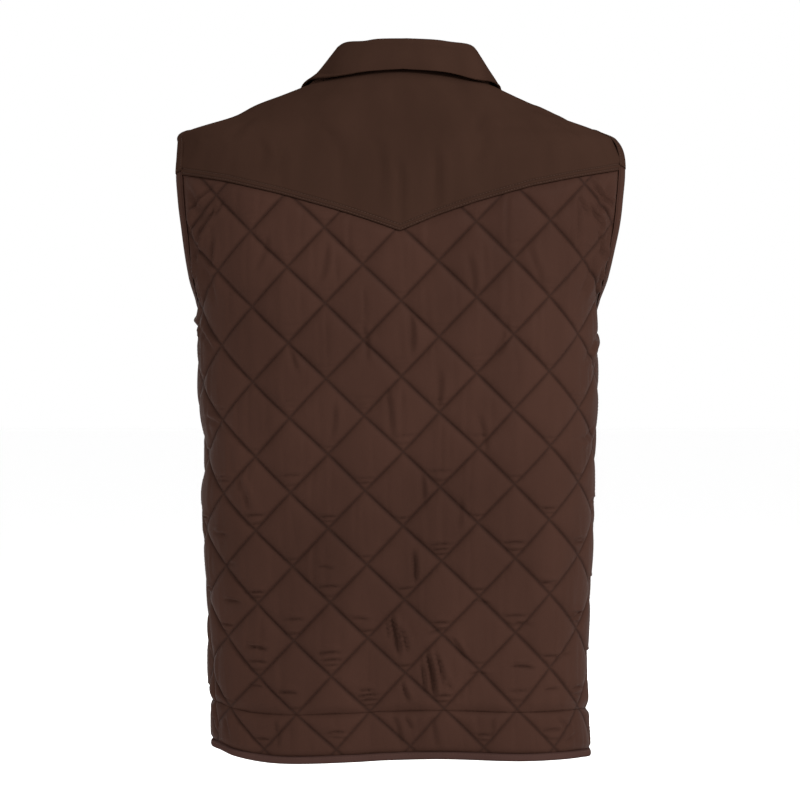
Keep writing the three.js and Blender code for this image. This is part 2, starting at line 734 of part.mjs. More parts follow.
// How far a point stands off the form, roughly, and the form's own direction outwards
function standOff(p) {
  const row = section(p.z);
  const front = p.y < row.middle;
  const power = front ? row.frontPower : row.backPower;
  const a = Math.abs((p.x - row.shift) / row.half) ** power;
  const b = Math.abs((p.y - row.middle) / (front ? row.front : row.back)) ** power;
  return (a + b) ** (1 / power) - 1;
}
const FREE_LEVEL = 13; // above the neck nothing lies under the collar
const FREE_RISE = 14;
const FREE_DEPTH = 14;
function clearOf(p, distance, free = FREE_DEPTH) {
  const q = p.clone();
  const h = 0.4;
  for (let turn = 0; turn < 12; turn += 1) {
    const value = standOff(q);
    const slope = new THREE.Vector3(
      standOff(q.clone().setX(q.x + h)) - standOff(q.clone().setX(q.x - h)),
      standOff(q.clone().setY(q.y + h)) - standOff(q.clone().setY(q.y - h)),
      standOff(q.clone().setZ(q.z + h)) - standOff(q.clone().setZ(q.z - h)),
    ).divideScalar(2 * h);
    const size = slope.length();
    const gap = value / size;
    const wanted = distance - free * step01((q.z - FREE_LEVEL) / FREE_RISE);
    if (gap > wanted - 0.02) break;
    q.addScaledVector(slope, ((wanted - gap) * 0.8) / size);
  }
  return q;
}
function formDirection(p) {
  return clearOf(p, 3, 0).sub(p).normalize();
}

// Neckline as points of the form from the centre back to the centre front
function neckCurve(side) {
  const points = [];
  for (let k = 0; k <= 240; k += 1) {
    const angle = (Math.PI * k) / 240;
    const top = section(0);
    if (angle <= Math.PI / 2) {
      let z = NECK.level;
      let place = [0, 0];
      for (let turn = 0; turn < 5; turn += 1) {
        const row = section(z);
        const [x, y] = sectionPoint(row, angle);
        place = [row.shift + side * (x - row.shift), y];
        z = NECK.level + neckLift(place[0]);
      }
      points.push(new THREE.Vector3(place[0], place[1], z));
    } else {
      const share = Math.sin(angle) ** (2 / 2.1);
      const x = top.shift + side * NECK.halfWidth * share;
      const z = -NECK.drop * (1 - share ** NECK.widthPower) ** (1 / NECK.dropPower);
      points.push(new THREE.Vector3(x, frontY(x, z), z));
    }
  }
  return points;
}

// Collar. Both pieces are open at the centre front, where their ends meet.
const COLLAR_HALF_STEPS = 16;
const COLLAR_END_GAP = 0.5;
function collarStations() {
  const stations = [];
  const curves = {};
  [1, -1].forEach((side) => {
    const points = neckCurve(side);
    const runs = [0];
    for (let m = 1; m < points.length; m += 1) {
      runs.push(runs[m - 1] + points[m].distanceTo(points[m - 1]));
    }
    curves[side] = { points, runs };
  });
  for (let k = -COLLAR_HALF_STEPS; k <= COLLAR_HALF_STEPS; k += 1) {
    const side = k < 0 ? -1 : 1;
    const { points, runs } = curves[side];
    const full = runs[runs.length - 1];
    const share = Math.min(Math.abs(k) / COLLAR_HALF_STEPS, 1 - COLLAR_END_GAP / full);
    let m = 1;
    while (m < runs.length - 1 && runs[m] < share * full) m += 1;
    const t = (share * full - runs[m - 1]) / (runs[m] - runs[m - 1]);
    const foot = points[m - 1].clone().lerp(points[m], t);
    const ahead = points[Math.min(m + 2, points.length - 1)].clone();
    const along = ahead.sub(points[Math.max(m - 3, 0)]).normalize().multiplyScalar(side);
    if (m < 3) along.set(1, 0, 0);
    const [, fx, fy, fz, ex, ey, ez] = COLLAR_COLUMNS.map(
      (_, c) => (c === 0 ? share : smooth(share, COLLAR_ROWS, c)),
    );
    const settle = 1 - step01((share - 0.35) / 0.35);
    const late = 1 - step01((share - 0.6) / 0.35);
    stations.push({
      foot,
      along,
      fold: new THREE.Vector3(side * fx + 1 + (FOLD_SHIFT - 1) * late, fy, fz),
      edge: new THREE.Vector3(side * ex + 1 + (EDGE_SHIFT - 1) * settle, ey, ez),
    });
  }
  return stations;
}

// Cross-section of the collar at a station: the stand rises from the neckline, the fall rolls
// over its top and comes down outside it
function collarProfiles(station) {
  const { foot, along, fold, edge } = station;
  const outside = formDirection(foot);
  const away = outside.clone().cross(along).normalize();
  if (away.dot(fold.clone().sub(foot)) < 0) away.negate();
  const base = foot.clone().addScaledVector(away, COLLAR_WALL / 2 + 0.72)
    .addScaledVector(outside, COLLAR_WALL / 2);
  const rise = fold.clone().sub(base);
  const up = rise.clone().normalize();
  const across = up.clone().cross(along).normalize();
  if (across.dot(outside) < 0) across.negate();
  const r = COLLAR_ROLL;
  const tall = rise.length();
  const at = (height, out) => base.clone().addScaledVector(up, height).addScaledVector(across, out);
  const stand = [0, tall * 0.4, tall - 2.6 * r].map((height) => at(height, 0));
  const turn = [at(tall - 2.6 * r + 1.1, 0), at(tall - 1.6 * r, 0)];
  [140, 90, 40].forEach((degrees) => {
    const angle = (degrees * Math.PI) / 180;
    turn.push(at(tall - r + r * Math.sin(angle), r + r * Math.cos(angle)));
  });
  const start = at(tall - 2 * r, 2 * r + 0.4);
  [0, 0.25, 0.5, 0.75, 1].forEach((t) => {
    const bulge = 2.4 * Math.sin(Math.PI * t);
    const p = start.clone().lerp(edge, t).addScaledVector(across, bulge);
    turn.push(clearOf(p, PLAIN_WALL + COLLAR_WALL / 2 + 2.0));
  });
  return { stand, turn };
}

function thickened(rows, wall) {
  const outer = [];
  const inner = [];
  const count = rows.length;
  rows.forEach((row, r) => {
    const outerRow = [];
    const innerRow = [];
    row.forEach((p, c) => {
      const along = rows[Math.min(r + 1, count - 1)][c].clone().sub(rows[Math.max(r - 1, 0)][c]);
      const over = row[Math.min(c + 1, row.length - 1)].clone().sub(row[Math.max(c - 1, 0)]);
      const n = along.cross(over).normalize();
      outerRow.push(p.clone().addScaledVector(n, wall / 2));
      innerRow.push(p.clone().addScaledVector(n, -wall / 2));
    });
    outer.push(outerRow);
    inner.push(innerRow);
  });
  return gridBody(outer, inner);
}

{
  const profiles = collarStations().map(collarProfiles);
  addNode('collar_stand', COLOURS.twill, 0.85, thickened(profiles.map((s) => s.stand), COLLAR_WALL));
  addNode('collar_fall', COLOURS.twill, 0.85, thickened(profiles.map((s) => s.turn), COLLAR_WALL));
}

// Front placket from the neckline to the hem
function placketPoint(t, z) {
  return formPoint(Math.sign(t || 1) * (section(z).length - Math.abs(t)), z);
}
{
  const outer = [];
  const inner = [];
  const top = -NECK.drop - 0.6;
  const rows = 28;
  const inset = PLACKET_HALF - half;
  for (let r = 0; r <= rows; r += 1) {
    const z = top + ((HEM - top) * r) / rows;
    const outerRow = [];
    const innerRow = [];
    [-inset, -inset + 2, 0, inset - 2, inset].forEach((t, c) => {
      const p = placketPoint(t, z);
      const n = outwards(placketPoint, t || 0.01, z);
      n.x *= 0.2;
      n.normalize();
      const rise = c === 0 || c === 4 ? PLACKET_WALL - 1 : PLACKET_WALL;
      outerRow.push(p.clone().addScaledVector(n, rise));
      innerRow.push(p);
    });
    outer.push(outerRow);
    inner.push(innerRow);
  }
  addNode('front_placket', COLOURS.quilt, 0.7, gridBody(outer, inner));
}

// Snap caps, each a low round cap on the placket
function roundCap(seat, n, rings) {
  const position = [];
  const index = [];
  const across = new THREE.Vector3(1, 0, 0).cross(n).normalize();
  const over = n.clone().cross(across);
  rings.forEach(([radius, height]) => {
    for (let k = 0; k < SNAP.sides; k += 1) {
      const angle = (2 * Math.PI * k) / SNAP.sides;
      const p = seat.clone().addScaledVector(n, height)
        .addScaledVector(across, radius * Math.cos(angle))
        .addScaledVector(over, radius * Math.sin(angle));
      position.push(p.x, p.y, p.z);
    }
  });
  const foot = position.length / 3;
  const crown = seat.clone().addScaledVector(n, rings[rings.length - 1][1] + 0.15);
  position.push(seat.x, seat.y, seat.z, crown.x, crown.y, crown.z);
  for (let k = 0; k < SNAP.sides; k += 1) {
    const m = (k + 1) % SNAP.sides;
    for (let r = 0; r < rings.length - 1; r += 1) {
      const a = r * SNAP.sides;
      const b = a + SNAP.sides;
      index.push(a + k, a + m, b + m, a + k, b + m, b + k);
    }
    const last = (rings.length - 1) * SNAP.sides;
    index.push(foot, m, k, foot + 1, last + k, last + m);
  }
  return finish(position, index);
}
for (let k = 0; k < SNAP.count; k += 1) {
  const z = SNAP.first + SNAP.step * k;
  const n = outwards(placketPoint, 0.01, z);
  n.x = 0;
  n.normalize();
  const seat = placketPoint(0, z).addScaledVector(n, PLACKET_WALL + SNAP.seat);
  const rings = [
    [SNAP.radius - 0.6, 0], [SNAP.radius, 0.7], [SNAP.radius - 0.9, SNAP.height - 0.3],
    [SNAP.radius * 0.5, SNAP.height],
  ];
  const cap = roundCap(seat, n, rings);
  addNode(`snap_${k + 1}`, COLOURS.snap, 0.4, cap);
}

export default vest;
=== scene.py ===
# %% [markdown]
# # A quilted vest
# This lesson dresses a sleeveless quilted vest that is shown as if it were worn. The plain solids come
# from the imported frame. Each cloth piece is made again here with its quilting, wrinkles and stitches,
# and takes the place of its solid. All sizes are worked out in millimetres and turned into metres
# only when a mesh is made.

# %% Load the frame
import bpy
import math
import mathutils
import numpy as np
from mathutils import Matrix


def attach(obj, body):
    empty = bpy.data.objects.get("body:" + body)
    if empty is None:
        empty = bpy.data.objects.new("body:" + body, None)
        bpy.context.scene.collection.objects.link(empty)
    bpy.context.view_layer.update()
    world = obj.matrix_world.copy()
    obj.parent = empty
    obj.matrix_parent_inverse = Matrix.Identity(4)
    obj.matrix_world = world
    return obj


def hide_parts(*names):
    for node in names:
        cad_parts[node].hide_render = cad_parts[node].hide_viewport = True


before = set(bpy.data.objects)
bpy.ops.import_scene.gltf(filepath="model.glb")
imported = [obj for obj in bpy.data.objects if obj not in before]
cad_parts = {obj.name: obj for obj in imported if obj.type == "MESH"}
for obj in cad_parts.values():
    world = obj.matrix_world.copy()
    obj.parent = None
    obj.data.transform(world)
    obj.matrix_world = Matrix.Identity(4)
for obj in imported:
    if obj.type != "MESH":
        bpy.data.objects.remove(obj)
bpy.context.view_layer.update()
MM = 0.001

# %% [markdown]
# ## The form under the cloth
# A worn vest is a tube of cloth. Its shape is given by one horizontal section at each level: a half
# width, a depth behind and in front of a middle line, and how square the curve is. A short table is
# easier to adjust than a sculpted mesh, and every piece can be laid on it by its own cloth measure:
# s is the distance along the cloth from the centre back and z is the level.

# %% Sections from the neck to the hem
SECTION_COLUMNS = ("z", "half", "back", "front", "shift", "middle", "back_power", "front_power")
SECTION_ROWS = np.array([
    (14, 70, 64, 78, 1.0, 0, 2.10, 2.00),
    (0, 92, 80, 84, 1.0, 0, 2.15, 2.00),
    (-10.5, 115, 87, 86, 3.0, 0, 2.20, 1.95),
    (-20.5, 139, 93, 89, 5.5, 0, 2.25, 1.90),
    (-32.5, 163, 98, 93, 5.0, 0, 2.30, 1.90),
    (-44.5, 199, 103, 97, 8.0, 0, 2.40, 1.95),
    (-49.5, 210, 105, 98.5, 8.5, 0, 2.43, 1.97),
    (-56, 218, 107.5, 100.5, 3.0, 0, 2.48, 2.02),
    (-70, 225.5, 112, 105, 0.0, 0, 2.55, 2.10),
    (-90, 230, 116, 111, 0.0, 0, 2.60, 2.20),
    (-115, 229, 119, 117, 0.2, 0, 2.65, 2.30),
    (-140, 224.5, 121, 122, 0.2, 0, 2.70, 2.40),
    (-165, 217.5, 121, 126, 1.2, 0, 2.75, 2.45),
    (-190, 208, 120, 129, 2.0, 0, 2.80, 2.50),
    (-213, 197, 119, 130, 2.8, 0, 2.85, 2.55),
    (-235, 194, 118, 130, 3.0, -1, 2.90, 2.60),
    (-270, 194, 115, 130, 2.5, -2, 2.90, 2.60),
    (-310, 194, 112, 129, 2.5, -4, 2.90, 2.60),
    (-360, 189.5, 108, 128, 0.5, -8, 2.90, 2.60),
    (-410, 191.5, 104, 126, 2.5, -13, 2.85, 2.60),
    (-470, 189.5, 101, 122, 2.0, -19, 2.80, 2.60),
    (-530, 186.5, 98, 116, 2.6, -25, 2.75, 2.60),
    (-590, 186.5, 96, 110, 2.5, -30, 2.75, 2.60),
    (-657, 187, 94, 105, -0.5, -33, 2.75, 2.60),
    (-690, 187, 94, 105, -0.5, -33, 2.75, 2.60),
])[::-1]
BODY_END = -613.0
BAND_END = -653.6
HEM = -661.0
SEAM_HALF = -0.1  # each piece reaches this far past its seam line, so no light shows through
print("section rows", len(SECTION_ROWS), "hem at", HEM, "mm")

# %% [markdown]
# ## Reading a table
# Most shapes here are short tables of values. One helper reads a table along a smooth
# curve through its rows, for rounded forms. The other joins the rows with straight lines, for edges
# that are cut.

# %% Smooth and straight tables
def smooth(x, rows, column=1):
    rows = np.asarray(rows, float)
    if rows[0, 0] > rows[-1, 0]:
        rows = rows[::-1]
    knots, values = rows[:, 0], rows[:, column]
    slopes = np.empty(len(knots))
    slopes[1:-1] = (values[2:] - values[:-2]) / (knots[2:] - knots[:-2])
    slopes[0] = (values[1] - values[0]) / (knots[1] - knots[0])
    slopes[-1] = (values[-1] - values[-2]) / (knots[-1] - knots[-2])
    x = np.clip(x, knots[0], knots[-1])
    i = np.clip(np.searchsorted(knots, x, side="right") - 1, 0, len(knots) - 2)
    h = knots[i + 1] - knots[i]
    t = (x - knots[i]) / h
    return ((2 * t**3 - 3 * t**2 + 1) * values[i] + (t**3 - 2 * t**2 + t) * h * slopes[i]
            + (3 * t**2 - 2 * t**3) * values[i + 1] + (t**3 - t**2) * h * slopes[i + 1])


def straight(x, rows):
    rows = np.asarray(rows, float)
    if rows[0, 0] > rows[-1, 0]:
        rows = rows[::-1]
    return np.interp(x, rows[:, 0], rows[:, 1])


def ease(t):
    t = np.clip(t, 0, 1)
    return t * t * (3 - 2 * t)


print("table helpers ready, middle of the rounded step", ease(0.5))

# %% [markdown]
# ## A section at every millimetre
# The table is read once for each level, so any point of the form can be looked up quickly. A section
# is a rounded square, and its front and back halves have a depth and a squareness of their own.

# %% Sections at every level
LEVELS = np.arange(-690, 14.5, 1.0)
SECTIONS = {name: smooth(LEVELS, SECTION_ROWS, k) for k, name in enumerate(SECTION_COLUMNS) if k}


def section(z):
    return {name: np.interp(z, LEVELS, values) for name, values in SECTIONS.items()}


def section_point(row, angle):
    sine, cosine = np.sin(angle), np.cos(angle)
    power = 2 / np.where(cosine > 0, row["back_power"], row["front_power"])
    depth = np.where(cosine > 0, row["back"], row["front"])
    x = row["half"] * np.sign(sine) * np.abs(sine) ** power
    y = row["middle"] + depth * np.sign(cosine) * np.abs(cosine) ** power
    return x, y


print("levels", len(LEVELS), "columns", list(SECTIONS))

# %% [markdown]
# ## Cloth measure
# Cloth is cut flat, so a pattern has to be laid by its length along the cloth and not by an angle. The
# way round each half section is added up once. A point is then found by its distance from the centre
# back.

# %% Length along each section
SHARES = np.linspace(0, 1, 721)
angles = np.linspace(0, np.pi, 1441)
HALF_GIRTH = np.empty(len(LEVELS))
FORM_X = np.empty((len(LEVELS), len(SHARES)))
FORM_Y = np.empty((len(LEVELS), len(SHARES)))
for k in range(len(LEVELS)):
    row = {name: values[k] for name, values in SECTIONS.items()}
    x, y = section_point(row, angles)
    run = np.concatenate([[0], np.cumsum(np.hypot(np.diff(x), np.diff(y)))])
    HALF_GIRTH[k] = run[-1]
    FORM_X[k] = np.interp(SHARES * run[-1], run, x)
    FORM_Y[k] = np.interp(SHARES * run[-1], run, y)
print("half way round at the hem", round(float(HALF_GIRTH[0]), 1), "mm")

# %% [markdown]
# ## Points and directions on the form
# One helper turns a place on the cloth into a point in space, and lets the lower edge sag by the few
# millimetres in its table. The other gives the direction that points away from the wearer, which
# every raised shape needs.

# %% From cloth to space
HEM_SAG_ROWS = [
    (-330, 0), (-240, -8.5), (-190, -4.6), (-117, -3), (-43, 0.4), (15, -0.6), (44, -2.4), (103, -5.2),
    (134, -4.8), (169, -1), (193, 3.2), (240, 1.5), (330, 0)]
SAG_TOP = -420.0
HUB_DROP = 40.0


def girth(z):
    return np.interp(z, LEVELS, HALF_GIRTH)


def form_point(s, z):
    s, z = np.broadcast_arrays(np.asarray(s, float), np.asarray(z, float))
    full = girth(z)
    run = np.minimum(np.abs(s), 2 * full - np.abs(s))
    side = np.where(s < 0, -1.0, 1.0) * np.where(np.abs(s) > full, -1.0, 1.0)
    q = np.clip(run / full, 0, 1) * (len(SHARES) - 1)
    w = np.clip(z - LEVELS[0], 0, len(LEVELS) - 1.001)
    i = np.clip(q.astype(int), 0, len(SHARES) - 2)
    k = np.clip(w.astype(int), 0, len(LEVELS) - 2)
    a, b = q - i, w - k
    mix = lambda t: ((t[k, i] * (1 - a) + t[k, i + 1] * a) * (1 - b)
                     + (t[k + 1, i] * (1 - a) + t[k + 1, i + 1] * a) * b)
    fade = ease((SAG_TOP - z) / (SAG_TOP - HEM))
    sag = smooth(side * run, HEM_SAG_ROWS) * fade
    shift = np.interp(z, LEVELS, SECTIONS["shift"])
    return np.stack([shift + side * mix(FORM_X), mix(FORM_Y), z + sag], axis=-1)


def outwards(point, u, v, step=0.5):
    du = point(u + step, v) - point(u - step, v)
    dv = point(u, v + step) - point(u, v - step)
    n = np.cross(du, dv)
    n /= np.maximum(np.linalg.norm(n, axis=-1, keepdims=True), 1e-12)
    here = point(u, v)
    row = section(np.clip(here[..., 2], LEVELS[0], 0))
    hub = np.stack([row["shift"], row["middle"], here[..., 2] - HUB_DROP], axis=-1)
    wrong = np.sum(n * (here - hub), axis=-1) < 0
    n[wrong] *= -1
    return n


print("chest girth", round(2 * float(girth(-235))), "mm, hem girth", round(2 * float(girth(-655))), "mm")

# %% [markdown]
# ## Edges of the pieces
# Each cut edge is a function that says how many millimetres a point lies inside the cloth. A piece is
# then a fine grid that is trimmed where one of its functions turns negative. It could also be cut with
# boolean modifiers, but they leave ragged borders on curved cloth.

# %% Seams, armholes and neckline
ARMHOLE = {"y": -3.0, "z": -130.5, "depth": 63.0, "height": 84.5, "power": 2.3, "scale": 70.0}
NECK = {"shift": 1.0, "drop": 75.0, "half": 92.0, "width_power": 2.0, "drop_power": 1.6, "scale": 40.0}
NECK_LIFT = {"height": 12.0, "flat": 40.0, "reach": 50.0}
YOKE_EDGE_ROWS = [(-260, -80.5), (-233.6, -84.4), (-172, -95.6), (-125, -105.6), (-70.6, -121.6),
                  (-34.9, -134.1), (0, -148.8), (33, -137.6), (60.3, -128.8), (115.4, -112.9),
                  (170.5, -99.6), (199, -94.5), (232.5, -89.1), (260, -85)]
SHOULDER_SEAM_ROWS = [(0, -40), (84, -16), (148, 0), (183, 18), (216, 30), (240, 36)]
SIDE_ROWS = {1: [(-200, 262), (-300, 255), (-450, 232), (-560, 205), (-690, 189)],
             -1: [(-200, 262), (-300, 257), (-450, 245), (-560, 232), (-690, 226)]}
PLACKET_HALF = 18.0
FRONT_SEAM = {"middle": -112.0, "side": -98.0, "reach": 220.0}


def armhole_edge(p):
    a = np.abs((p[..., 1] - ARMHOLE["y"]) / ARMHOLE["depth"]) ** ARMHOLE["power"]
    b = np.abs((p[..., 2] - ARMHOLE["z"]) / ARMHOLE["height"]) ** ARMHOLE["power"]
    return ((a + b) ** (1 / ARMHOLE["power"]) - 1) * ARMHOLE["scale"]


def neck_lift(x):
    return NECK_LIFT["height"] * (1 - ease((np.abs(x) - NECK_LIFT["flat"]) / NECK_LIFT["reach"]))


def neck_edge(p):
    a = np.abs((p[..., 0] - NECK["shift"]) / NECK["half"]) ** NECK["width_power"]
    b = np.abs(np.minimum(p[..., 2], 0) / NECK["drop"]) ** NECK["drop_power"]
    return np.where(p[..., 1] > 0, -p[..., 2], (a + b - 1) * NECK["scale"])


def yoke_line(s, z):
    return z - straight(s, YOKE_EDGE_ROWS)


def front_yoke_line(p):
    share = np.abs(p[..., 0]) / FRONT_SEAM["reach"]
    return p[..., 2] - (FRONT_SEAM["middle"] + (FRONT_SEAM["side"] - FRONT_SEAM["middle"]) * share)


def shoulder_line(p):
    return p[..., 1] - straight(np.abs(p[..., 0]), SHOULDER_SEAM_ROWS)


armhole_mean = math.hypot(ARMHOLE["depth"], ARMHOLE["height"]) / math.sqrt(2)
print("armhole round", round(2 * math.pi * armhole_mean), "mm")

# %% [markdown]
# ## A sheet
# A sheet holds its points by their place on the cloth, and its cells. Its border is found from the
# sides that only one cell uses, and the longest loop of them is the piece's outline.

# %% Sheet and border
class Sheet:
    def __init__(self, u, v, faces):
        self.u, self.v, self.faces = u, v, faces

    def border(self):
        used = set()
        for face in self.faces:
            for a, b in zip(face, face[1:] + face[:1]):
                used.add((a, b))
        ahead = {a: b for a, b in used if (b, a) not in used}
        loops, done = [], set()
        for start in list(ahead):
            if start in done:
                continue
            loop, k = [], start
            while k not in done and k in ahead:
                done.add(k)
                loop.append(k)
                k = ahead[k]
            loops.append(loop)
        return max(loops, key=len)


print("sheets ready")

# %% [markdown]
# ## Moving points onto an edge
# Where an edge passes close to a point of the grid, trimming would leave a thin sliver. Such points
# are first moved onto the edge by a few steps down its slope, but never half a cell or more.

# %% Points near an edge
TOUCH = 1e-4
SLOPE_STEP = 0.05
LONGEST_STEP = 0.6
LONGEST_MOVE = 0.48


def on_edge(edge, point, u, v, du, dv):
    uu, vv = u.copy(), v.copy()
    for _ in range(4):
        base = edge(point(uu, vv), uu, vv)
        eu, ev = du * SLOPE_STEP, dv * SLOPE_STEP
        slope_u = (edge(point(uu + eu, vv), uu + eu, vv) - base) / SLOPE_STEP
        slope_v = (edge(point(uu, vv + ev), uu, vv + ev) - base) / SLOPE_STEP
        size = np.maximum(slope_u**2 + slope_v**2, 1e-12)
        uu += np.clip(-base * slope_u / size, -LONGEST_STEP, LONGEST_STEP) * du
        vv += np.clip(-base * slope_v / size, -LONGEST_STEP, LONGEST_STEP) * dv
    return uu, vv


def settled_grid(us, vs, point, edges, snap):
    gu, gv = np.meshgrid(us, vs, indexing="ij")
    u, v = gu.ravel().copy(), gv.ravel().copy()
    spot = point(u, v)
    values = [edge(spot, u, v) for edge in edges]
    near = np.ones(len(u), bool)
    for f in values:
        near &= f > -12 * snap
    du = (np.gradient(us)[:, None] * np.ones_like(gv)).ravel()
    dv = (np.gradient(vs)[None, :] * np.ones_like(gu)).ravel()
    for k, edge in enumerate(edges):
        pick = np.nonzero(near & (np.abs(values[k]) < snap))[0]
        if len(pick) == 0:
            continue
        uu, vv = on_edge(edge, point, u[pick], v[pick], du[pick], dv[pick])
        fine = np.hypot((uu - u[pick]) / du[pick], (vv - v[pick]) / dv[pick]) < LONGEST_MOVE
        u[pick[fine]], v[pick[fine]] = uu[fine], vv[fine]
        spot = point(u, v)
        values = [e(spot, u, v) for e in edges]
        values[k][pick[fine]] = 0
    return u, v, values


print("points nearer than", LONGEST_MOVE, "of a cell are moved onto an edge")

# %% [markdown]
# ## Cutting the cells
# A side that runs from inside to outside is halved again and again until its point lies on the edge.
# Each crossed cell then keeps its inner corners and the new points. Booleans could cut cloth too, but
# on curved sheets they leave ragged borders.

# %% Cells cut at one edge
def crossed_sides(polys, f):
    pairs = set()
    for poly in polys:
        for a, b in zip(poly, poly[1:] + poly[:1]):
            if (f[a] < -TOUCH and f[b] > TOUCH) or (f[a] > TOUCH and f[b] < -TOUCH):
                pairs.add((min(a, b), max(a, b)))
    return sorted(pairs)


def cut_places(pairs, f, u, v, point, edge):
    low = np.array([(u[a], v[a]) if f[a] < 0 else (u[b], v[b]) for a, b in pairs])
    high = np.array([(u[b], v[b]) if f[a] < 0 else (u[a], v[a]) for a, b in pairs])
    for _ in range(16):
        middle = (low + high) / 2
        g = edge(point(middle[:, 0], middle[:, 1]), middle[:, 0], middle[:, 1])
        low[g < 0] = middle[g < 0]
        high[g >= 0] = middle[g >= 0]
    return high


def clipped(polys, f, cut):
    kept = []
    for poly in polys:
        if all(f[a] >= -TOUCH for a in poly):
            kept.append(poly)
            continue
        if all(f[a] <= TOUCH for a in poly):
            continue
        out = []
        for a, b in zip(poly, poly[1:] + poly[:1]):
            if f[a] >= -TOUCH:
                out.append(a)
            pair = (min(a, b), max(a, b))
            if pair in cut:
                out.append(cut[pair])
        if len(out) > 2:
            kept.append(out)
    return kept


print("cells can be cut")

# %% [markdown]
# ## Trimming a grid
# The whole step: settle the points, keep the cells that lie inside, cut those that an edge crosses and
# leave out the rest. Each piece of the vest is trimmed once finely for its outside and once coarsely
# for its plain inside.

# %% A trimmed sheet
def trimmed(us, vs, point, edges, snap):
    u, v, values = settled_grid(us, vs, point, edges, snap)
    nu, nv = len(us), len(vs)
    grid = np.arange(nu * nv).reshape(nu, nv)
    corners = [grid[:-1, :-1], grid[1:, :-1], grid[1:, 1:], grid[:-1, 1:]]
    quads = np.stack(corners, axis=-1).reshape(-1, 4)
    keep, cross = np.ones(len(quads), bool), np.zeros(len(quads), bool)
    for f in values:
        keep &= ~np.all(f[quads] <= TOUCH, axis=1)
        cross |= np.any(f[quads] < -TOUCH, axis=1)
    whole = quads[keep & ~cross].tolist()
    polys = quads[keep & cross].tolist()
    u, v = list(u), list(v)
    values = [list(f) for f in values]
    for k, edge in enumerate(edges):
        pairs = crossed_sides(polys, values[k])
        cut = {}
        if pairs:
            high = cut_places(pairs, values[k], u, v, point, edge)
            spot = point(high[:, 0], high[:, 1])
            fresh = [e(spot, high[:, 0], high[:, 1]) for e in edges]
            for m, pair in enumerate(pairs):
                cut[pair] = len(u)
                u.append(high[m, 0])
                v.append(high[m, 1])
                for j in range(len(edges)):
                    values[j].append(0.0 if j == k else fresh[j][m])
        polys = clipped(polys, values[k], cut)
    faces = whole + polys
    used = sorted({k for face in faces for k in face})
    order = {k: m for m, k in enumerate(used)}
    return Sheet(np.array([u[k] for k in used]), np.array([v[k] for k in used]),
                 [[order[k] for k in face] for face in faces])


print("trimming helper ready")

# %% [markdown]
# ## From sheets to closed cloth
# A cloth wall has an outer and an inner face. The outer one is fine, the inner one is plain and
# coarser, and a strip of triangles joins their borders.

# %% Meshes and closed walls
def mesh_object(name, points, faces, material, uv, attributes):
    mesh = bpy.data.meshes.new(name)
    mesh.from_pydata((np.asarray(points) * MM).tolist(), [], faces)
    mesh.update()
    layer = mesh.uv_layers.new(name="cloth")
    corners = np.empty(len(mesh.loops), np.int32)
    mesh.loops.foreach_get("vertex_index", corners)
    layer.data.foreach_set("uv", (np.asarray(uv) * MM)[corners].astype(np.float32).ravel())
    for key, values in attributes.items():
        layer = mesh.attributes.new(key, "FLOAT", "POINT")
        layer.data.foreach_set("value", np.asarray(values, np.float32))
    mesh.polygons.foreach_set("use_smooth", [True] * len(mesh.polygons))
    mesh.materials.append(material)
    thing = bpy.data.objects.new(name, mesh)
    bpy.context.collection.objects.link(thing)
    return thing


def zipped(outer, inner, a, b):
    start = int(np.argmin(np.linalg.norm(inner[b] - outer[a[0]], axis=1)))
    b = b[start:] + b[:start]
    strip, i, j = [], 0, 0
    while i < len(a) or j < len(b):
        a0, a1 = a[i % len(a)], a[(i + 1) % len(a)]
        b0, b1 = b[j % len(b)], b[(j + 1) % len(b)]
        go_a = np.sum((outer[a1] - inner[b0]) ** 2)
        go_b = np.sum((inner[b1] - outer[a0]) ** 2)
        if j >= len(b) or (i < len(a) and go_a <= go_b):
            strip.append([a1, a0, len(outer) + b0])
            i += 1
        else:
            strip.append([len(outer) + b0, len(outer) + b1, a0])
            j += 1
    return strip


def closed_cloth(name, outer_sheet, outer, inner_sheet, inner, material, uv, painted_line_shade):
    faces = [list(face) for face in outer_sheet.faces]
    faces += [[len(outer) + k for k in reversed(face)] for face in inner_sheet.faces]
    faces += zipped(outer, inner, outer_sheet.border(), inner_sheet.border())
    points = np.concatenate([outer, inner])
    votes = 0.0
    for f in outer_sheet.faces[:400]:
        p, q, r = points[f[0]], points[f[1]], points[f[2]]
        votes += float(np.dot(np.cross(q - p, r - p), p - np.array([0, -10, p[2] - 20])))
    if votes < 0:
        faces = [list(reversed(f)) for f in faces]
    # the attribute marks where the cloth's colour gets painted shade along its stitch lines; the inside gets
    # none
    marks = {"painted_line_shade": np.concatenate([painted_line_shade, np.zeros(len(inner))])}
    return mesh_object(name, points, faces, material, uv, marks)


print("wall helper ready")

# %% [markdown]
# ## Quilting
# Two sets of stitch lines cross at right angles and leave diamonds on their points. The stitches pull
# the cloth flat along the lines and the filling lifts it between them. The grid of each quilted piece
# runs along the stitch lines, closer beside them, so that every crease is one clean row of edges.

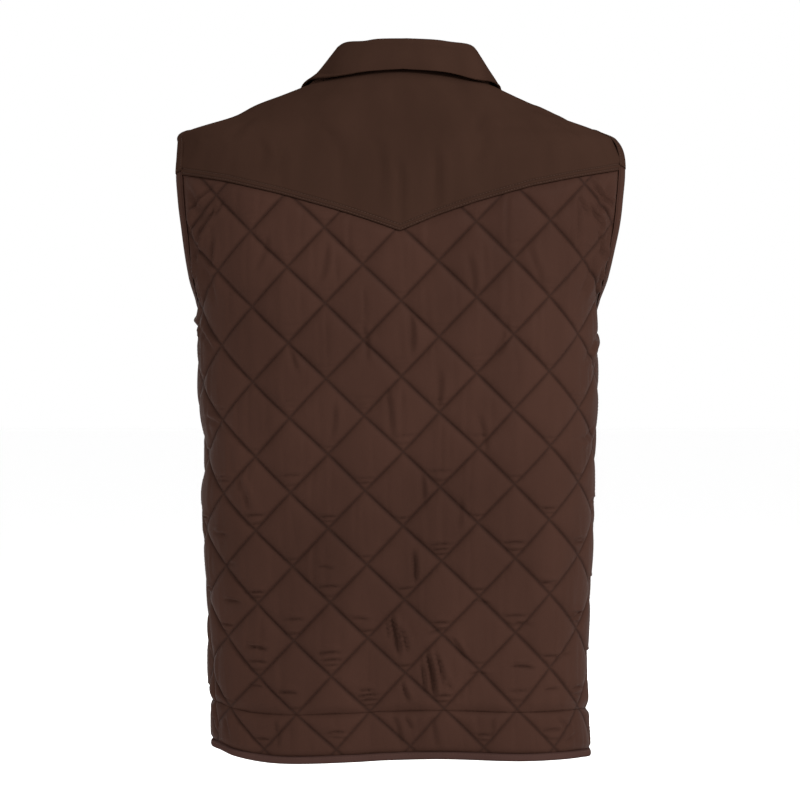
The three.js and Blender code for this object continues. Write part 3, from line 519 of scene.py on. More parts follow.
# %% Lattice of stitch lines
DIAMOND = 72.0
ROW_PITCH = DIAMOND / math.sqrt(2)
QUILT_TOP = -215.5
QUILT_DRIFT_ROWS = [
    (-60, 0), (-148.8, 0), (-214.3, -3.2), (-286, -3.2), (-358, -2.8), (-430, -4.7), (-502, -6),
    (-613, -8), (-700, -11)]
QUILT_TILT_ROWS = [
    (-260, 6), (-185, 5.7), (-148, 5.4), (-110, 4.4), (-75, 3.4), (-40, 2), (0, 0), (33, -1.4),
    (70, -2.2), (105, -3.6), (142, -5), (180, -5.4), (260, -5.8)]
QUILT_TILT_FADE_ROWS = [  # columns: z, right, left
    (-60, 1, 1), (-430, 1, 1), (-466, 1, 0.85), (-502, 1, 0.7), (-538, 1, 0.6), (-574, 1, 0.4),
    (-613, 0.4, 0.2), (-655, -0.2, 0)]
HALF_STEPS = (0, .013, .030, .051, .076, .105, .138, .174, .213, .255, .300, .347, .396, .447, .5)
COARSE_STEPS = (0, .06, .15, .26, .38, .5)


def lattice_lines(low, high, half_steps):
    inside = list(half_steps[:-1]) + [1 - t for t in reversed(half_steps[1:])]
    lines = range(math.floor(low), math.ceil(high))
    return np.array([k + t for k in lines for t in inside] + [math.ceil(high)])


def lattice_place(u, v):
    return (u + v) * DIAMOND / 2, (u - v) * DIAMOND / 2


def drift(z):
    return straight(z, QUILT_DRIFT_ROWS)


def tilt(s, z):
    right, left = [straight(z, [(row[0], row[k]) for row in QUILT_TILT_FADE_ROWS]) for k in (1, 2)]
    return straight(s, QUILT_TILT_ROWS) * np.where(s > 0, left, right)


def back_measure(u, v):
    a, b = lattice_place(u, v)
    z = b + QUILT_TOP
    s = a + drift(z)
    return s, z + tilt(s, z)


def front_measure(side):
    def measure(u, v):
        a, b = lattice_place(u, v)
        z = b + QUILT_TOP
        return side * (girth(z) - a), z
    return measure


print("stitch rows", round(ROW_PITCH, 1), "mm apart")

# %% [markdown]
# ## Puffs and ripples
# The filling rises steeply from a stitch line and levels out, which an exponential curve follows well.
# Each diamond is filled a little more or less than the next. Beside the lines the thread gathers the
# cloth into fine ripples, in patches, because no seam pulls evenly.

# %% Puffs and ripples
PUFF = 4.0
SINK = 4.3
STITCHED_WALL = 1.9
THINNEST_RISE = 0.7
RIPPLE_REACH = 2.6


def puff(u, v):
    du = np.abs(u - np.round(u)) * ROW_PITCH
    dv = np.abs(v - np.round(v)) * ROW_PITCH
    return (1 - np.exp(-du / SINK)) * (1 - np.exp(-dv / SINK))


def diamond_noise(u, v, seed):
    n = np.floor(u) * 12.9898 + np.floor(v) * 78.233 + seed * 37.719
    return np.abs(np.sin(n) * 43758.5453) % 1.0


def ripples(u, v, seed):
    total = np.zeros_like(u)
    for here, along in ((u, v), (v, u)):
        line = np.round(here)
        d = np.abs(here - line) * ROW_PITCH
        run = along * ROW_PITCH
        patch = 0.5 + 0.5 * np.sin(run / 13.0 + line * 2.3 + 3.1 * np.sin(line * 5.7 + seed))
        wave = np.sin(run / 1.5 + 2.4 * np.sin(run / 9.0 + line * 1.7 + seed) + line * 4.1)
        total += wave * patch**2 * d / RIPPLE_REACH * np.exp(1 - d / RIPPLE_REACH)
    return total


print("filling rises up to", PUFF, "mm above the stitched wall")

# %% [markdown]
# ## Folds inside a diamond
# Where a diamond stands on its lower corner its cloth sags into short level folds, and from its upper
# corner soft upright folds run down. Their places are drawn from a sine of the diamond's numbers, so
# they look uneven but are the same on each run.

# %% Small folds
CORNER_MIX = (12.9, 78.2, 37.7, 5.3, 43758.5)
UPRIGHT_MIX = (31.7, 17.3, 11.9, 2.9, 24634.6)
MOST_FOLDS = 3


def drawn(k, m, n, seed, mix):
    pick = np.sin(k * mix[0] + m * mix[1] + n * mix[2] + seed * mix[3]) * mix[4]
    return [np.modf(np.abs(pick * f))[0] for f in (1.0, 3.17, 7.71)]


def corner_folds(u, v, seed):
    k, m = np.floor(u), np.floor(v) + 1
    a, b = lattice_place(u, v)
    a0, b0 = lattice_place(k, m)
    total = np.zeros_like(u)
    for n in range(MOST_FOLDS):
        chance, drift_a, drift_b = drawn(k, m, n, seed, CORNER_MIX)
        high = 5.5 + 5.2 * n + 2.2 * drift_b
        half_width = 4.5 + 0.34 * high + 2.0 * drift_a
        da = a - a0 - 3.0 * (drift_a - 0.5)
        db = b - b0 - high + 0.012 * da**2
        fade = np.exp(-(da / half_width) ** 4)
        depth = (chance > 0.25 + 0.2 * n) * (0.7 + 0.9 * chance)
        trough, ridge = np.exp(-(db / 1.35) ** 2), np.exp(-((db - 2.8) / 2.0) ** 2)
        total -= depth * fade * (trough - 0.3 * ridge)
    return total


def upright_folds(u, v, seed):
    k, m = np.floor(u), np.floor(v) + 1
    a, b = lattice_place(u, v)
    a0, b0 = (k + m) * DIAMOND / 2, (k - m + 1) * DIAMOND / 2
    total = np.zeros_like(u)
    for n in range(MOST_FOLDS):
        chance, drift_a, drift_b = drawn(k, m, n, seed, UPRIGHT_MIX)
        da = a - a0 - (drift_a - 0.5) * 34
        db = b - b0 - 8 * (drift_b - 0.5)
        lean = da + 0.10 * (drift_b - 0.5) * db
        fade = np.exp(-(db / (15 + 12 * drift_b)) ** 4)
        trough, ridge = np.exp(-(lean / 1.7) ** 2), np.exp(-((lean - 3.4) / 2.6) ** 2)
        total -= (chance > 0.3) * (0.3 + 0.6 * chance) * fade * (trough - 0.5 * ridge)
    return total


print("up to", MOST_FOLDS, "level and", MOST_FOLDS, "upright folds in a diamond")

# %% [markdown]
# ## Creases
# Cloth over soft filling folds a little wherever the wearer's back curves or the hem pulls. Each
# crease is a short soft trough, given by its middle, length, direction, depth and width.
# The visible ones come from the photograph. Those on the front are similar ones.

# %% Listed creases
# columns: s, z, length, angle in degrees, depth, width
BACK_CREASES = [
    (137, -548, 15, 4, 1.5, 1.3), (66, -552, 17, -3, 1.2, 1.3), (107, -590, 14, 3, 1.2, 1.2),
    (-38, -534, 15, -12, 1.3, 1.3), (-122, -526, 12, 8, 1.3, 1.3), (-122, -567, 17, 5, 1.5, 1.3),
    (-166, -558, 14, -14, 1.2, 1.4), (2, -536, 30, 78, 2.2, 1.9), (-33, -575, 36, 80, 2.2, 2.0),
    (-6, -540, 22, 74, 1.2, 1.6), (10, -530, 18, 82, 1.0, 1.6), (-41, -570, 26, 77, 1.3, 1.7),
    (-25, -580, 24, 84, 1.2, 1.7), (-48, -583, 14, 72, 0.9, 1.5), (-60, -552, 20, 60, 0.9, 1.8),
    (-200, -112, 28, 40, 1.6, 1.7), (-194, -134, 24, 53, 1.7, 1.7), (-178, -124, 15, 60, 1.2, 1.6),
    (-203, -158, 26, 66, 1.4, 1.9), (-188, -100, 14, 24, 1.0, 1.5), (-210, -196, 24, 80, 1.2, 2.0),
    (198, -116, 28, 142, 1.5, 1.8), (190, -138, 24, 128, 1.6, 1.8), (176, -126, 15, 120, 1.1, 1.6),
    (202, -160, 26, 112, 1.3, 1.9), (184, -168, 22, 100, 1.0, 1.8), (208, -198, 24, 98, 1.2, 2.0),
    (-7, -594, 16, 70, 1.2, 2.0), (140, -586, 12, 0, 1.0, 1.2), (-152, -590, 14, -6, 1.1, 1.3),
    (165, -505, 14, 4, 1.2, 1.3), (170, -470, 12, -6, 1.0, 1.3), (36, -520, 14, 6, 0.9, 1.3),
    (101, -520, 16, -4, 1.0, 1.3), (-80, -505, 13, 5, 1.0, 1.3), (-150, -488, 15, 10, 1.2, 1.3),
    (-78, -575, 14, -4, 1.1, 1.3), (30, -590, 13, 5, 0.9, 1.2), (-186, -520, 16, -20, 1.3, 1.6),
    (178, -440, 14, 8, 1.0, 1.4), (-112, -455, 13, -5, 0.9, 1.2), (70, -470, 12, 4, 0.9, 1.2),
    (150, -400, 26, 64, 1.0, 2.6), (-24, -395, 26, 84, 1.2, 2.4), (8, -320, 34, 86, 1.1, 2.6),
    (-40, -300, 30, 92, 1.0, 2.4), (30, -255, 28, 84, 1.0, 2.4), (-14, -245, 30, 88, 1.1, 2.6),
    (62, -330, 26, 98, 0.9, 2.4), (-80, -340, 28, 80, 0.9, 2.4), (100, -270, 24, 70, 0.9, 2.6),
    (-100, -250, 26, 104, 0.9, 2.6), (-16, -470, 26, 86, 1.2, 2.2), (-60, -420, 22, 96, 0.9, 2.2),
    (214, -150, 40, 62, 1.6, 4.0), (222, -180, 34, 58, 1.4, 3.6), (204, -118, 30, 60, 1.2, 3.6),
    (-214, -150, 40, 118, 1.6, 4.0), (-224, -182, 34, 122, 1.4, 3.6), (-202, -116, 32, 120, 1.3, 3.6),
    (-190, -190, 34, 110, 1.2, 3.6), (188, -196, 30, 70, 1.1, 3.6), (236, -240, 30, 30, 1.3, 3.4),
    (-238, -244, 30, 150, 1.3, 3.4), (200, -250, 28, 40, 1.0, 3.0), (-204, -262, 28, 142, 1.0, 3.0),
    (190, -330, 26, 20, 0.9, 2.6), (-196, -345, 26, 160, 0.9, 2.6), (-70, -190, 30, 80, 0.9, 2.8),
    (70, -180, 30, 100, 0.9, 2.8), (-130, -180, 26, 70, 0.8, 2.8), (130, -170, 26, 110, 0.8, 2.8),
]
FRONT_CREASES = [
    (60, -560, 15, 4, 1.3, 1.3), (104, -525, 14, -5, 1.1, 1.3), (150, -560, 15, 6, 1.2, 1.3),
    (196, -525, 14, -8, 1.1, 1.4), (66, -486, 13, 5, 1.0, 1.3), (140, -490, 14, -4, 1.0, 1.3),
    (60, -400, 26, 84, 1.1, 2.4), (110, -360, 28, 96, 1.0, 2.4), (80, -290, 28, 80, 1.0, 2.6),
    (150, -300, 26, 70, 0.9, 2.6), (60, -220, 30, 94, 1.0, 2.6), (120, -190, 28, 76, 1.0, 2.8),
    (196, -165, 36, 118, 1.5, 3.8), (206, -200, 32, 122, 1.3, 3.6), (186, -130, 28, 120, 1.2, 3.6),
    (220, -250, 28, 150, 1.2, 3.2), (190, -330, 26, 20, 0.9, 2.6), (44, -590, 13, -5, 1.0, 1.2),
    (116, -592, 14, 4, 1.0, 1.2), (180, -590, 14, -6, 1.1, 1.3), (230, -470, 16, 12, 1.1, 1.5),
]
BAND_CREASES = [
    (2, -630, 30, 80, 1.1, 2.2), (-33, -634, 26, 84, 1.1, 2.2), (-8, -622, 14, 66, 0.9, 1.8),
    (-166, -626, 14, 40, 1.2, 2.0), (-172, -640, 12, -30, 1.0, 1.8), (120, -630, 20, 84, 0.8, 2.0),
    (60, -636, 16, 12, 0.7, 1.6), (-90, -628, 18, 96, 0.8, 2.0), (176, -632, 14, 76, 0.8, 2.0),
]


print("creases on the back", len(BACK_CREASES), "on each front", len(FRONT_CREASES))

# %% [markdown]
# ## Pressing the creases in
# Each crease is a soft trough with a low ridge on one side, as cloth that folds has to go somewhere. It
# bows a little and fades out towards its ends.

# %% Troughs and ridges
THINNEST_CREASE = 1.5
CREASE_FADE = 0.62
RIDGE_SHARE = 0.6
LEVEL_BOW, UPRIGHT_BOW = 0.012, 0.004


def creased(s, z, rows):
    total = np.zeros_like(s)
    for cs, cz, length, angle, depth, width in rows:
        turn = math.radians(angle)
        ds, dz = s - cs, z - cz
        along = ds * math.cos(turn) + dz * math.sin(turn)
        bow = (LEVEL_BOW if abs(math.cos(turn)) > 0.8 else UPRIGHT_BOW) * along**2
        width = max(width, THINNEST_CREASE)
        over = -ds * math.sin(turn) + dz * math.cos(turn) + bow
        fade = np.exp(-(along / (CREASE_FADE * length)) ** 4)
        trough, ridge = np.exp(-(over / width) ** 2), np.exp(-((over - 2 * width) / (1.6 * width)) ** 2)
        total -= depth * fade * (trough - RIDGE_SHARE * ridge)
    return total


print("creases by hand", len(BACK_CREASES) + 2 * len(FRONT_CREASES))

# %% [markdown]
# ## Helpers for materials
# A material is a tree of nodes. Four small helpers add a node, link two sockets, multiply a colour by a
# factor and stretch a value to a new range, so that each finish below reads like a list of its parts.

# %% Node helpers
def add(tree, kind, **values):
    node = tree.nodes.new(kind)
    for key, value in values.items():
        setattr(node, key, value)
    return node


def link(tree, a, b):
    tree.links.new(a, b)


def tinted(tree, colour, factor, name):
    mix = add(tree, "ShaderNodeMix", data_type="RGBA", blend_type="MULTIPLY", label=name)
    mix.inputs["Factor"].default_value = 1.0
    link(tree, colour, mix.inputs[6])
    link(tree, factor, mix.inputs[7])
    return mix.outputs[2]


def remapped(tree, value, low, high, start=0.0, end=1.0):
    node = add(tree, "ShaderNodeMapRange")
    node.inputs["From Min"].default_value = start
    node.inputs["From Max"].default_value = end
    node.inputs["To Min"].default_value = low
    node.inputs["To Max"].default_value = high
    link(tree, value, node.inputs["Value"])
    return node.outputs["Result"]


print("node helpers ready")

# %% [markdown]
# ## Weave, noise and bumps
# Crossed wave textures give the threads, turned for a twill so that its ribs run at a slant. Noise in
# a few sizes gives the unevenness that real cloth has, and bump nodes turn both into fine relief.

# %% Weave and relief
def threads(tree, uv, pitch, twill):
    turn = add(tree, "ShaderNodeMapping")
    turn.inputs["Rotation"].default_value = (0, 0, math.radians(60) if twill else 0)
    turn.inputs["Scale"].default_value = (math.pi / (10 * pitch),) * 3
    link(tree, uv, turn.inputs["Vector"])
    bands = []
    for direction, wide in (("X", 1.0), ("Y", 0.4 if twill else 1.0)):
        wave = add(tree, "ShaderNodeTexWave", bands_direction=direction)
        wave.inputs["Scale"].default_value = wide
        wave.inputs["Distortion"].default_value = 0.8
        wave.inputs["Detail"].default_value = 1.5
        link(tree, turn.outputs["Vector"], wave.inputs["Vector"])
        bands.append(wave.outputs["Fac"])
    both = add(tree, "ShaderNodeMath", operation="MULTIPLY")
    link(tree, bands[0], both.inputs[0])
    link(tree, bands[1], both.inputs[1])
    return both.outputs[0]


def noise(tree, vector, scale, detail, stretch=None):
    node = add(tree, "ShaderNodeTexNoise")
    node.inputs["Scale"].default_value = scale
    node.inputs["Detail"].default_value = detail
    if stretch:
        turn = add(tree, "ShaderNodeMapping")
        turn.inputs["Scale"].default_value = stretch
        link(tree, vector, turn.inputs["Vector"])
        vector = turn.outputs["Vector"]
    link(tree, vector, node.inputs["Vector"])
    return node.outputs["Fac"]


def bump(tree, height, distance, strength, before=None):
    node = add(tree, "ShaderNodeBump")
    node.inputs["Strength"].default_value = strength
    node.inputs["Distance"].default_value = distance
    link(tree, height, node.inputs["Height"])
    if before:
        link(tree, before, node.inputs["Normal"])
    return node.outputs["Normal"]


print("weave helpers ready")

# %% [markdown]
# ## Cloth finishes
# The body is a smooth, tightly woven cloth. The yoke and collar are a matt twill. The weave follows
# the panels because it reads the cloth's own measure. Along the stitch lines and grooves the colour is
# darkened as painted shade, from the attribute that each piece carries.

# %% Cloth materials
def cloth_material(name, colour, roughness, pitch, twill, painted_line_shade, crumple, cloud=0.1):
    material = bpy.data.materials.new(name)
    material.use_nodes = True
    tree = material.node_tree
    tree.nodes.clear()
    out = add(tree, "ShaderNodeOutputMaterial")
    shader = add(tree, "ShaderNodeBsdfPrincipled")
    link(tree, shader.outputs["BSDF"], out.inputs["Surface"])
    shader.inputs["Specular IOR Level"].default_value = 0.0 if twill else 0.015
    uv = add(tree, "ShaderNodeUVMap", uv_map="cloth").outputs["UV"]
    place = add(tree, "ShaderNodeTexCoord").outputs["Object"]
    weave = threads(tree, uv, pitch, twill)
    slow = noise(tree, place, 7.0, 3.0)
    streaks = noise(tree, place, 30.0, 3.0, (1.0, 1.0, 0.16))
    base = add(tree, "ShaderNodeRGB")
    base.outputs[0].default_value = (*colour, 1)
    patches = remapped(tree, slow, 1 - cloud, 1 + cloud, 0.3, 0.7)
    shade = tinted(tree, base.outputs[0], patches, "slow shade")
    shade = tinted(tree, shade, remapped(tree, streaks, 0.93, 1.07, 0.3, 0.7), "streaks")
    shade = tinted(tree, shade, remapped(tree, weave, 0.92, 1.09), "threads")
    # painted shade: the base colour is darkened along the stitch lines and in the topstitch grooves, by the
    # attribute that each piece carries
    near = add(tree, "ShaderNodeAttribute", attribute_name="painted_line_shade").outputs["Fac"]
    shade = tinted(tree, shade, remapped(tree, near, 1.0, painted_line_shade), "painted shade on lines")
    link(tree, shade, shader.inputs["Base Color"])
    gloss = remapped(tree, streaks, roughness - 0.06, roughness + 0.06, 0.3, 0.7)
    link(tree, gloss, shader.inputs["Roughness"])
    rough = bump(tree, noise(tree, place, 110.0, 4.0), 0.0014, crumple)
    upright = bump(tree, noise(tree, place, 85.0, 2.5, (1.0, 1.0, 0.22)), 0.0022, crumple, rough)
    link(tree, bump(tree, weave, 0.00012, 0.3, upright), shader.inputs["Normal"])
    return material


# the sixth number is how dark the painted shade along the stitch lines and grooves makes the colour
QUILT_CLOTH = cloth_material("quilted_cloth", (0.0404, 0.0184, 0.0130), 0.55, 0.00045, False, 0.6, 0.3)
TWILL = cloth_material("matt_twill", (0.0333, 0.0165, 0.0113), 0.9, 0.0005, True, 0.72, 0.14, 0.07)
BINDING = cloth_material("binding_cloth", (0.050, 0.0258, 0.0215), 0.8, 0.0005, True, 0.7, 0.15)
PLACKET_CLOTH = cloth_material("placket_cloth", (0.041, 0.0203, 0.0143), 0.85, 0.0005, True, 0.7, 0.15)
print("cloth materials made")

# %% [markdown]
# ## Keeping pieces and stitches
# Each finished piece rides on the part's one body and takes the place of its plain solid. The stitch
# lines are kept as runs of points, until all pieces are made.

# %% Pieces and lists of stitches
SEWN = {"quilting_stitches": [], "twill_stitches": [], "trim_stitches": []}
SHORTEST_RUN = 3


def keep_piece(thing, node, slot):
    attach(thing, "root")
    if node:
        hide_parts(node)
    return thing


def sew(kind, points, inside=None):
    keep = np.ones(len(points), bool) if inside is None else inside
    run = []
    for p, good in zip(points, keep):
        if good:
            run.append(p)
            continue
        if len(run) > SHORTEST_RUN:
            SEWN[kind].append(np.array(run))
        run = []
    if len(run) > SHORTEST_RUN:
        SEWN[kind].append(np.array(run))


print("kinds of stitches", list(SEWN))

# %% [markdown]
# ## Raising the quilting
# Back, fronts and hem band are all cut from the same quilted cloth. Each is laid on the form and raised
# by its puffs, ripples, folds and creases. Near a seam the filling is pressed flat, and beside an
# armhole it is flat under the turned edge.

# %% Raised quilting
SEAM_CALM = 13.0
STRIP_WIDTH = 9.6
STITCH_MARGIN = 2.2
RIPPLE_DEPTH = 0.3
BY_HAND_DEPTH = 2.7
SEAM_PRESS = 0.9
LOWER_PART = {"top": -260.0, "fade": 200.0}


def sew_lattice(skin, point, edges, lows, highs):
    for axis in (0, 1):
        along = np.arange(lows[1 - axis], highs[1 - axis], 0.05)
        for line in range(math.ceil(lows[axis]), math.floor(highs[axis]) + 1):
            u, v = (line + 0 * along, along) if axis == 0 else (along, line + 0 * along)
            spot = point(u, v)
            gap = np.min([edge(spot, u, v) for edge in edges], axis=0)
            inside = (gap > STITCH_MARGIN) & (armhole_edge(spot) > STRIP_WIDTH + 1)
            if inside.any():
                sew("quilting_stitches", skin(u, v), inside)


def panel_raise(u, v, spot, edges, measure, creases, seed, calm_width, full):
    s, z = measure(u, v)
    if creases is FRONT_CREASES:
        s = girth(z) - np.abs(s)
    edge_gap = np.min([edge(spot, u, v) for edge in edges], axis=0)
    hole_gap = armhole_edge(spot) - STRIP_WIDTH
    lift = puff(u, v) * (0.86 + 0.28 * diamond_noise(u, v, seed)) * full
    calm = ease((edge_gap + 2) / calm_width) * ease((hole_gap + 2) / 9)
    edge_gap = np.minimum(edge_gap, hole_gap + 2)
    low = ease((LOWER_PART["top"] - z) / LOWER_PART["fade"])
    small = (RIPPLE_DEPTH * ripples(u, v, seed) + (0.5 + 1.5 * low) * corner_folds(u, v, seed)
             + (1.3 - 0.2 * low) * upright_folds(u, v, seed)) * np.minimum(1, 1.6 * puff(u, v))
    by_hand = BY_HAND_DEPTH * creased(s, z, creases) * np.minimum(1, 0.3 + lift)
    pressed = SEAM_PRESS * np.exp(-np.maximum(edge_gap, 0) / 1.3)
    rise = STITCHED_WALL + PUFF * lift * calm + (small + by_hand) * ease(edge_gap / 7) - pressed
    return np.maximum(rise, THINNEST_RISE)


print("the filling is flat within", SEAM_CALM, "mm of a seam")

# %% [markdown]
# ## A quilted panel
# The outside is trimmed from a fine grid and raised, and the inside from a coarse one that stays plain.
# Both have the same border, so the wall between them closes. Its stitch lines are kept on the way.

# %% Panel helper
def quilted_piece(name, measure, edges, a_span, b_span, creases, seed, calm_width=SEAM_CALM, full=1.0):
    corners = [((a + b) / DIAMOND, (a - b) / DIAMOND) for a in a_span for b in b_span]
    lows = [min(c[k] for c in corners) for k in (0, 1)]
    highs = [max(c[k] for c in corners) for k in (0, 1)]
    point = lambda u, v: form_point(*measure(u, v))
    fine = trimmed(lattice_lines(lows[0], highs[0], HALF_STEPS),
                   lattice_lines(lows[1], highs[1], HALF_STEPS), point, edges, 0.55)
    plain = trimmed(lattice_lines(lows[0], highs[0], COARSE_STEPS),
                    lattice_lines(lows[1], highs[1], COARSE_STEPS), point, edges, 1.2)
    s, z = measure(fine.u, fine.v)

    def skin(u, v):
        spot = point(u, v)
        rise = panel_raise(u, v, spot, edges, measure, creases, seed, calm_width, full)
        return spot + outwards(point, u, v, 0.01) * rise[:, None]
    outer = skin(fine.u, fine.v)
    sew_lattice(skin, point, edges, lows, highs)
    inwards = outwards(point, plain.u, plain.v, 0.01) * (0.6 * puff(plain.u, plain.v))[:, None]
    inner = point(plain.u, plain.v) - inwards
    # painted shade along the stitch lines: darkest on the lines, fading within about two millimetres
    du = np.abs(fine.u - np.round(fine.u)) * ROW_PITCH
    dv = np.abs(fine.v - np.round(fine.v)) * ROW_PITCH
    painted_line_shade = np.maximum(0.75 * np.exp(-(du / 1.4) ** 2), 0.95 * np.exp(-(dv / 1.7) ** 2))
    ps, pz = measure(plain.u, plain.v)
    uv = np.stack([np.concatenate([s, ps]), np.concatenate([z, pz])], axis=-1)
    thing = closed_cloth(name, fine, outer, plain, inner, QUILT_CLOTH, uv, painted_line_shade)
    print(name, "faces", len(thing.data.polygons))
    return thing


print("panel helper ready")

# %% [markdown]
# ## Edges of the quilted panels
# Each seam of a panel is one small function. Those that repeat are made by a function that takes the
# level or the side, so that back and fronts meet on exactly the same line.

# %% Panel edges
def floor_edge(level, measure):
    return lambda p, u, v: measure(u, v)[1] - level - SEAM_HALF


def roof_edge(level, measure):
    return lambda p, u, v: level - SEAM_HALF - measure(u, v)[1]


def side_of_back(side):
    def edge(p, u, v):
        s, z = back_measure(u, v)
        return straight(z, SIDE_ROWS[side]) - SEAM_HALF - side * s
    return edge


def side_of_front(side):
    def edge(p, u, v):
        a, b = lattice_place(u, v)
        z = b + QUILT_TOP
        return girth(z) - a - straight(z, SIDE_ROWS[side]) - SEAM_HALF
    return edge


def placket_side(p, u, v):
    return lattice_place(u, v)[0] - PLACKET_HALF - SEAM_HALF


def armhole_side(p, u, v):
    return armhole_edge(p)


def under_yoke(p, u, v):
    return -yoke_line(*back_measure(u, v)) - SEAM_HALF


def under_front_yoke(p, u, v):
    return -front_yoke_line(p) - SEAM_HALF


print("side seam at the hem", SIDE_ROWS[1][-1][1], "and", SIDE_ROWS[-1][-1][1], "mm from the centre back")

# %% [markdown]
# ## Back and front bodies
# The back is one panel from side seam to side seam. The two fronts are made by the same lines with the
# side turned round, and run from the side seam to the placket.

# %% Quilted bodies
back_body = quilted_piece(
    "back_body_cloth", back_measure,
    [under_yoke, armhole_side, floor_edge(BODY_END, back_measure), side_of_back(1), side_of_back(-1)],
    (-268, 268), (BODY_END - 8 - QUILT_TOP, -72 - QUILT_TOP), BACK_CREASES, 1)
keep_piece(back_body, "back_body", "quilted_cloth")
for word, side in (("left", 1), ("right", -1)):
    front = quilted_piece(
        f"front_{word}_cloth", front_measure(side),
        [under_front_yoke, armhole_side, floor_edge(BODY_END, front_measure(side)), side_of_front(side),
         placket_side],
        (0, 305), (BODY_END - QUILT_TOP, -96 - QUILT_TOP), FRONT_CREASES, 2 + side)
    keep_piece(front, f"front_{word}", "quilted_cloth")

# %% [markdown]
# ## Hem band
# The band runs round the hem in three lengths that meet the side seams. Its quilting continues the
# body's lattice, because body and band are quilted as one cloth and then seamed.

# %% Hem band pieces
band_back = quilted_piece(
    "hem_band_back_cloth", back_measure,
    [roof_edge(BODY_END, back_measure), floor_edge(BAND_END, back_measure),
     side_of_back(1), side_of_back(-1)],
    (-250, 250), (BAND_END - 4 - QUILT_TOP, BODY_END + 4 - QUILT_TOP), BAND_CREASES, 7, 9.0, 0.8)
keep_piece(band_back, "hem_band_back", "quilted_cloth")
for word, side in (("left", 1), ("right", -1)):
    band = quilted_piece(
        f"hem_band_front_{word}_cloth", front_measure(side),
        [roof_edge(BODY_END, front_measure(side)), floor_edge(BAND_END, front_measure(side)),
         side_of_front(side), placket_side],
        (0, 305), (BAND_END - QUILT_TOP, BODY_END - QUILT_TOP), FRONT_CREASES, 8 + side, 9.0, 0.8)
    keep_piece(band, f"hem_band_front_{word}", "quilted_cloth")

# %% [markdown]
# ## The yokes' grid
# The yokes are plain twill cut across the shoulders, with the pointed edge at the back. Their grid
# runs along that edge, closer beside it, so the rows of topstitching can press clean grooves there. A
# few soft folds are listed: the long ones fall from the collar to the point.

# %% Yoke grid
YOKE_COLUMNS = 58
YOKE_STRETCH = 17.5
YOKE_LEVELS = np.array([0, -3, -7, -12, -18, -25, -33, -42, -51, -62, -75, -90, -105, -120, -135, -148.8])
YOKE_WALL = 3.0
EDGE_BAND = 11
TOPSTITCH = (1.6, 5.6)
EDGE_ROWS = np.array([0, .5, 1.1, 1.6, 2.1, 2.7, 3.5, 4.4, 5.1, 5.6, 6.1, 6.8, 7.8, 9.2, 11])
TOP_ROWS = np.interp(np.arange(0, 12.01, 0.2), np.arange(len(YOKE_LEVELS)), YOKE_LEVELS)
LIFTED_ROWS = np.arange(0.8, 13.7, 0.8)
YOKE_CREASES = [  # columns: s, z, length, angle in degrees, depth, width
    (-2, -114, 56, 88, 1.7, 3.2), (-36, -108, 60, 93, 1.8, 3.4), (18, -92, 50, 84, 1.0, 5.0),
    (128, -84, 34, 80, 1.4, 3.4), (112, -92, 30, 84, 1.1, 3.6), (-140, -82, 34, 98, 1.1, 4.0),
    (60, -70, 60, 74, 0.9, 6.0), (-78, -66, 56, 108, 1.0, 6.0), (200, -74, 26, 60, 1.3, 4.0),
    (-204, -72, 26, 120, 1.3, 4.0), (170, -80, 26, 70, 1.0, 3.6), (-176, -84, 24, 108, 1.0, 3.6),
    (-166, -34, 34, 28, 2.2, 2.4), (-172, -46, 26, 36, 1.5, 2.2), (150, -50, 30, 150, 0.8, 3.6),
]


def yoke_share(u, z):
    return (u / YOKE_COLUMNS) * 2 * girth(z)


def back_hem(u):
    z = np.full_like(np.asarray(u, float), -110.0)
    for _ in range(12):
        z = straight(yoke_share(u, z), YOKE_EDGE_ROWS) + SEAM_HALF
    return z


def front_hem(u):
    z = np.full_like(np.asarray(u, float), -105.0)
    for _ in range(12):
        x = form_point(yoke_share(u, z), z)[..., 0]
        fall = FRONT_SEAM["side"] - FRONT_SEAM["middle"]
        z = FRONT_SEAM["middle"] + fall * np.abs(x) / FRONT_SEAM["reach"] + SEAM_HALF
    return z


def yoke_grid(hem, depth):
    top = np.sort(TOP_ROWS[TOP_ROWS > EDGE_BAND + 1.5 - depth])
    rows = np.concatenate([EDGE_ROWS, depth + top, depth + LIFTED_ROWS])

    def point(u, v):
        low = hem(u)
        far = np.clip((v - EDGE_BAND) / (depth - EDGE_BAND), 0, None)
        z = low + np.minimum(v, EDGE_BAND) + far * (0 - low - EDGE_BAND)
        return form_point(yoke_share(u, z), z)
    return rows, point


print("yoke edge at the centre back", YOKE_EDGE_ROWS[6][1], "mm, folds", len(YOKE_CREASES))

# %% [markdown]
# ## A yoke piece
# The wall stands a little prouder at its lower edge, where the cloth is turned under, and each row of
# topstitching sinks into it. The border is rounded, and the folds fade out towards the edge.

# %% Yoke helper
GROOVE = {"depth": 0.6, "width": 0.75}
RIM = {"turned": 0.7, "reach": 14.0, "between": 0.45}
YOKE_FOLD_DEPTH = 1.5


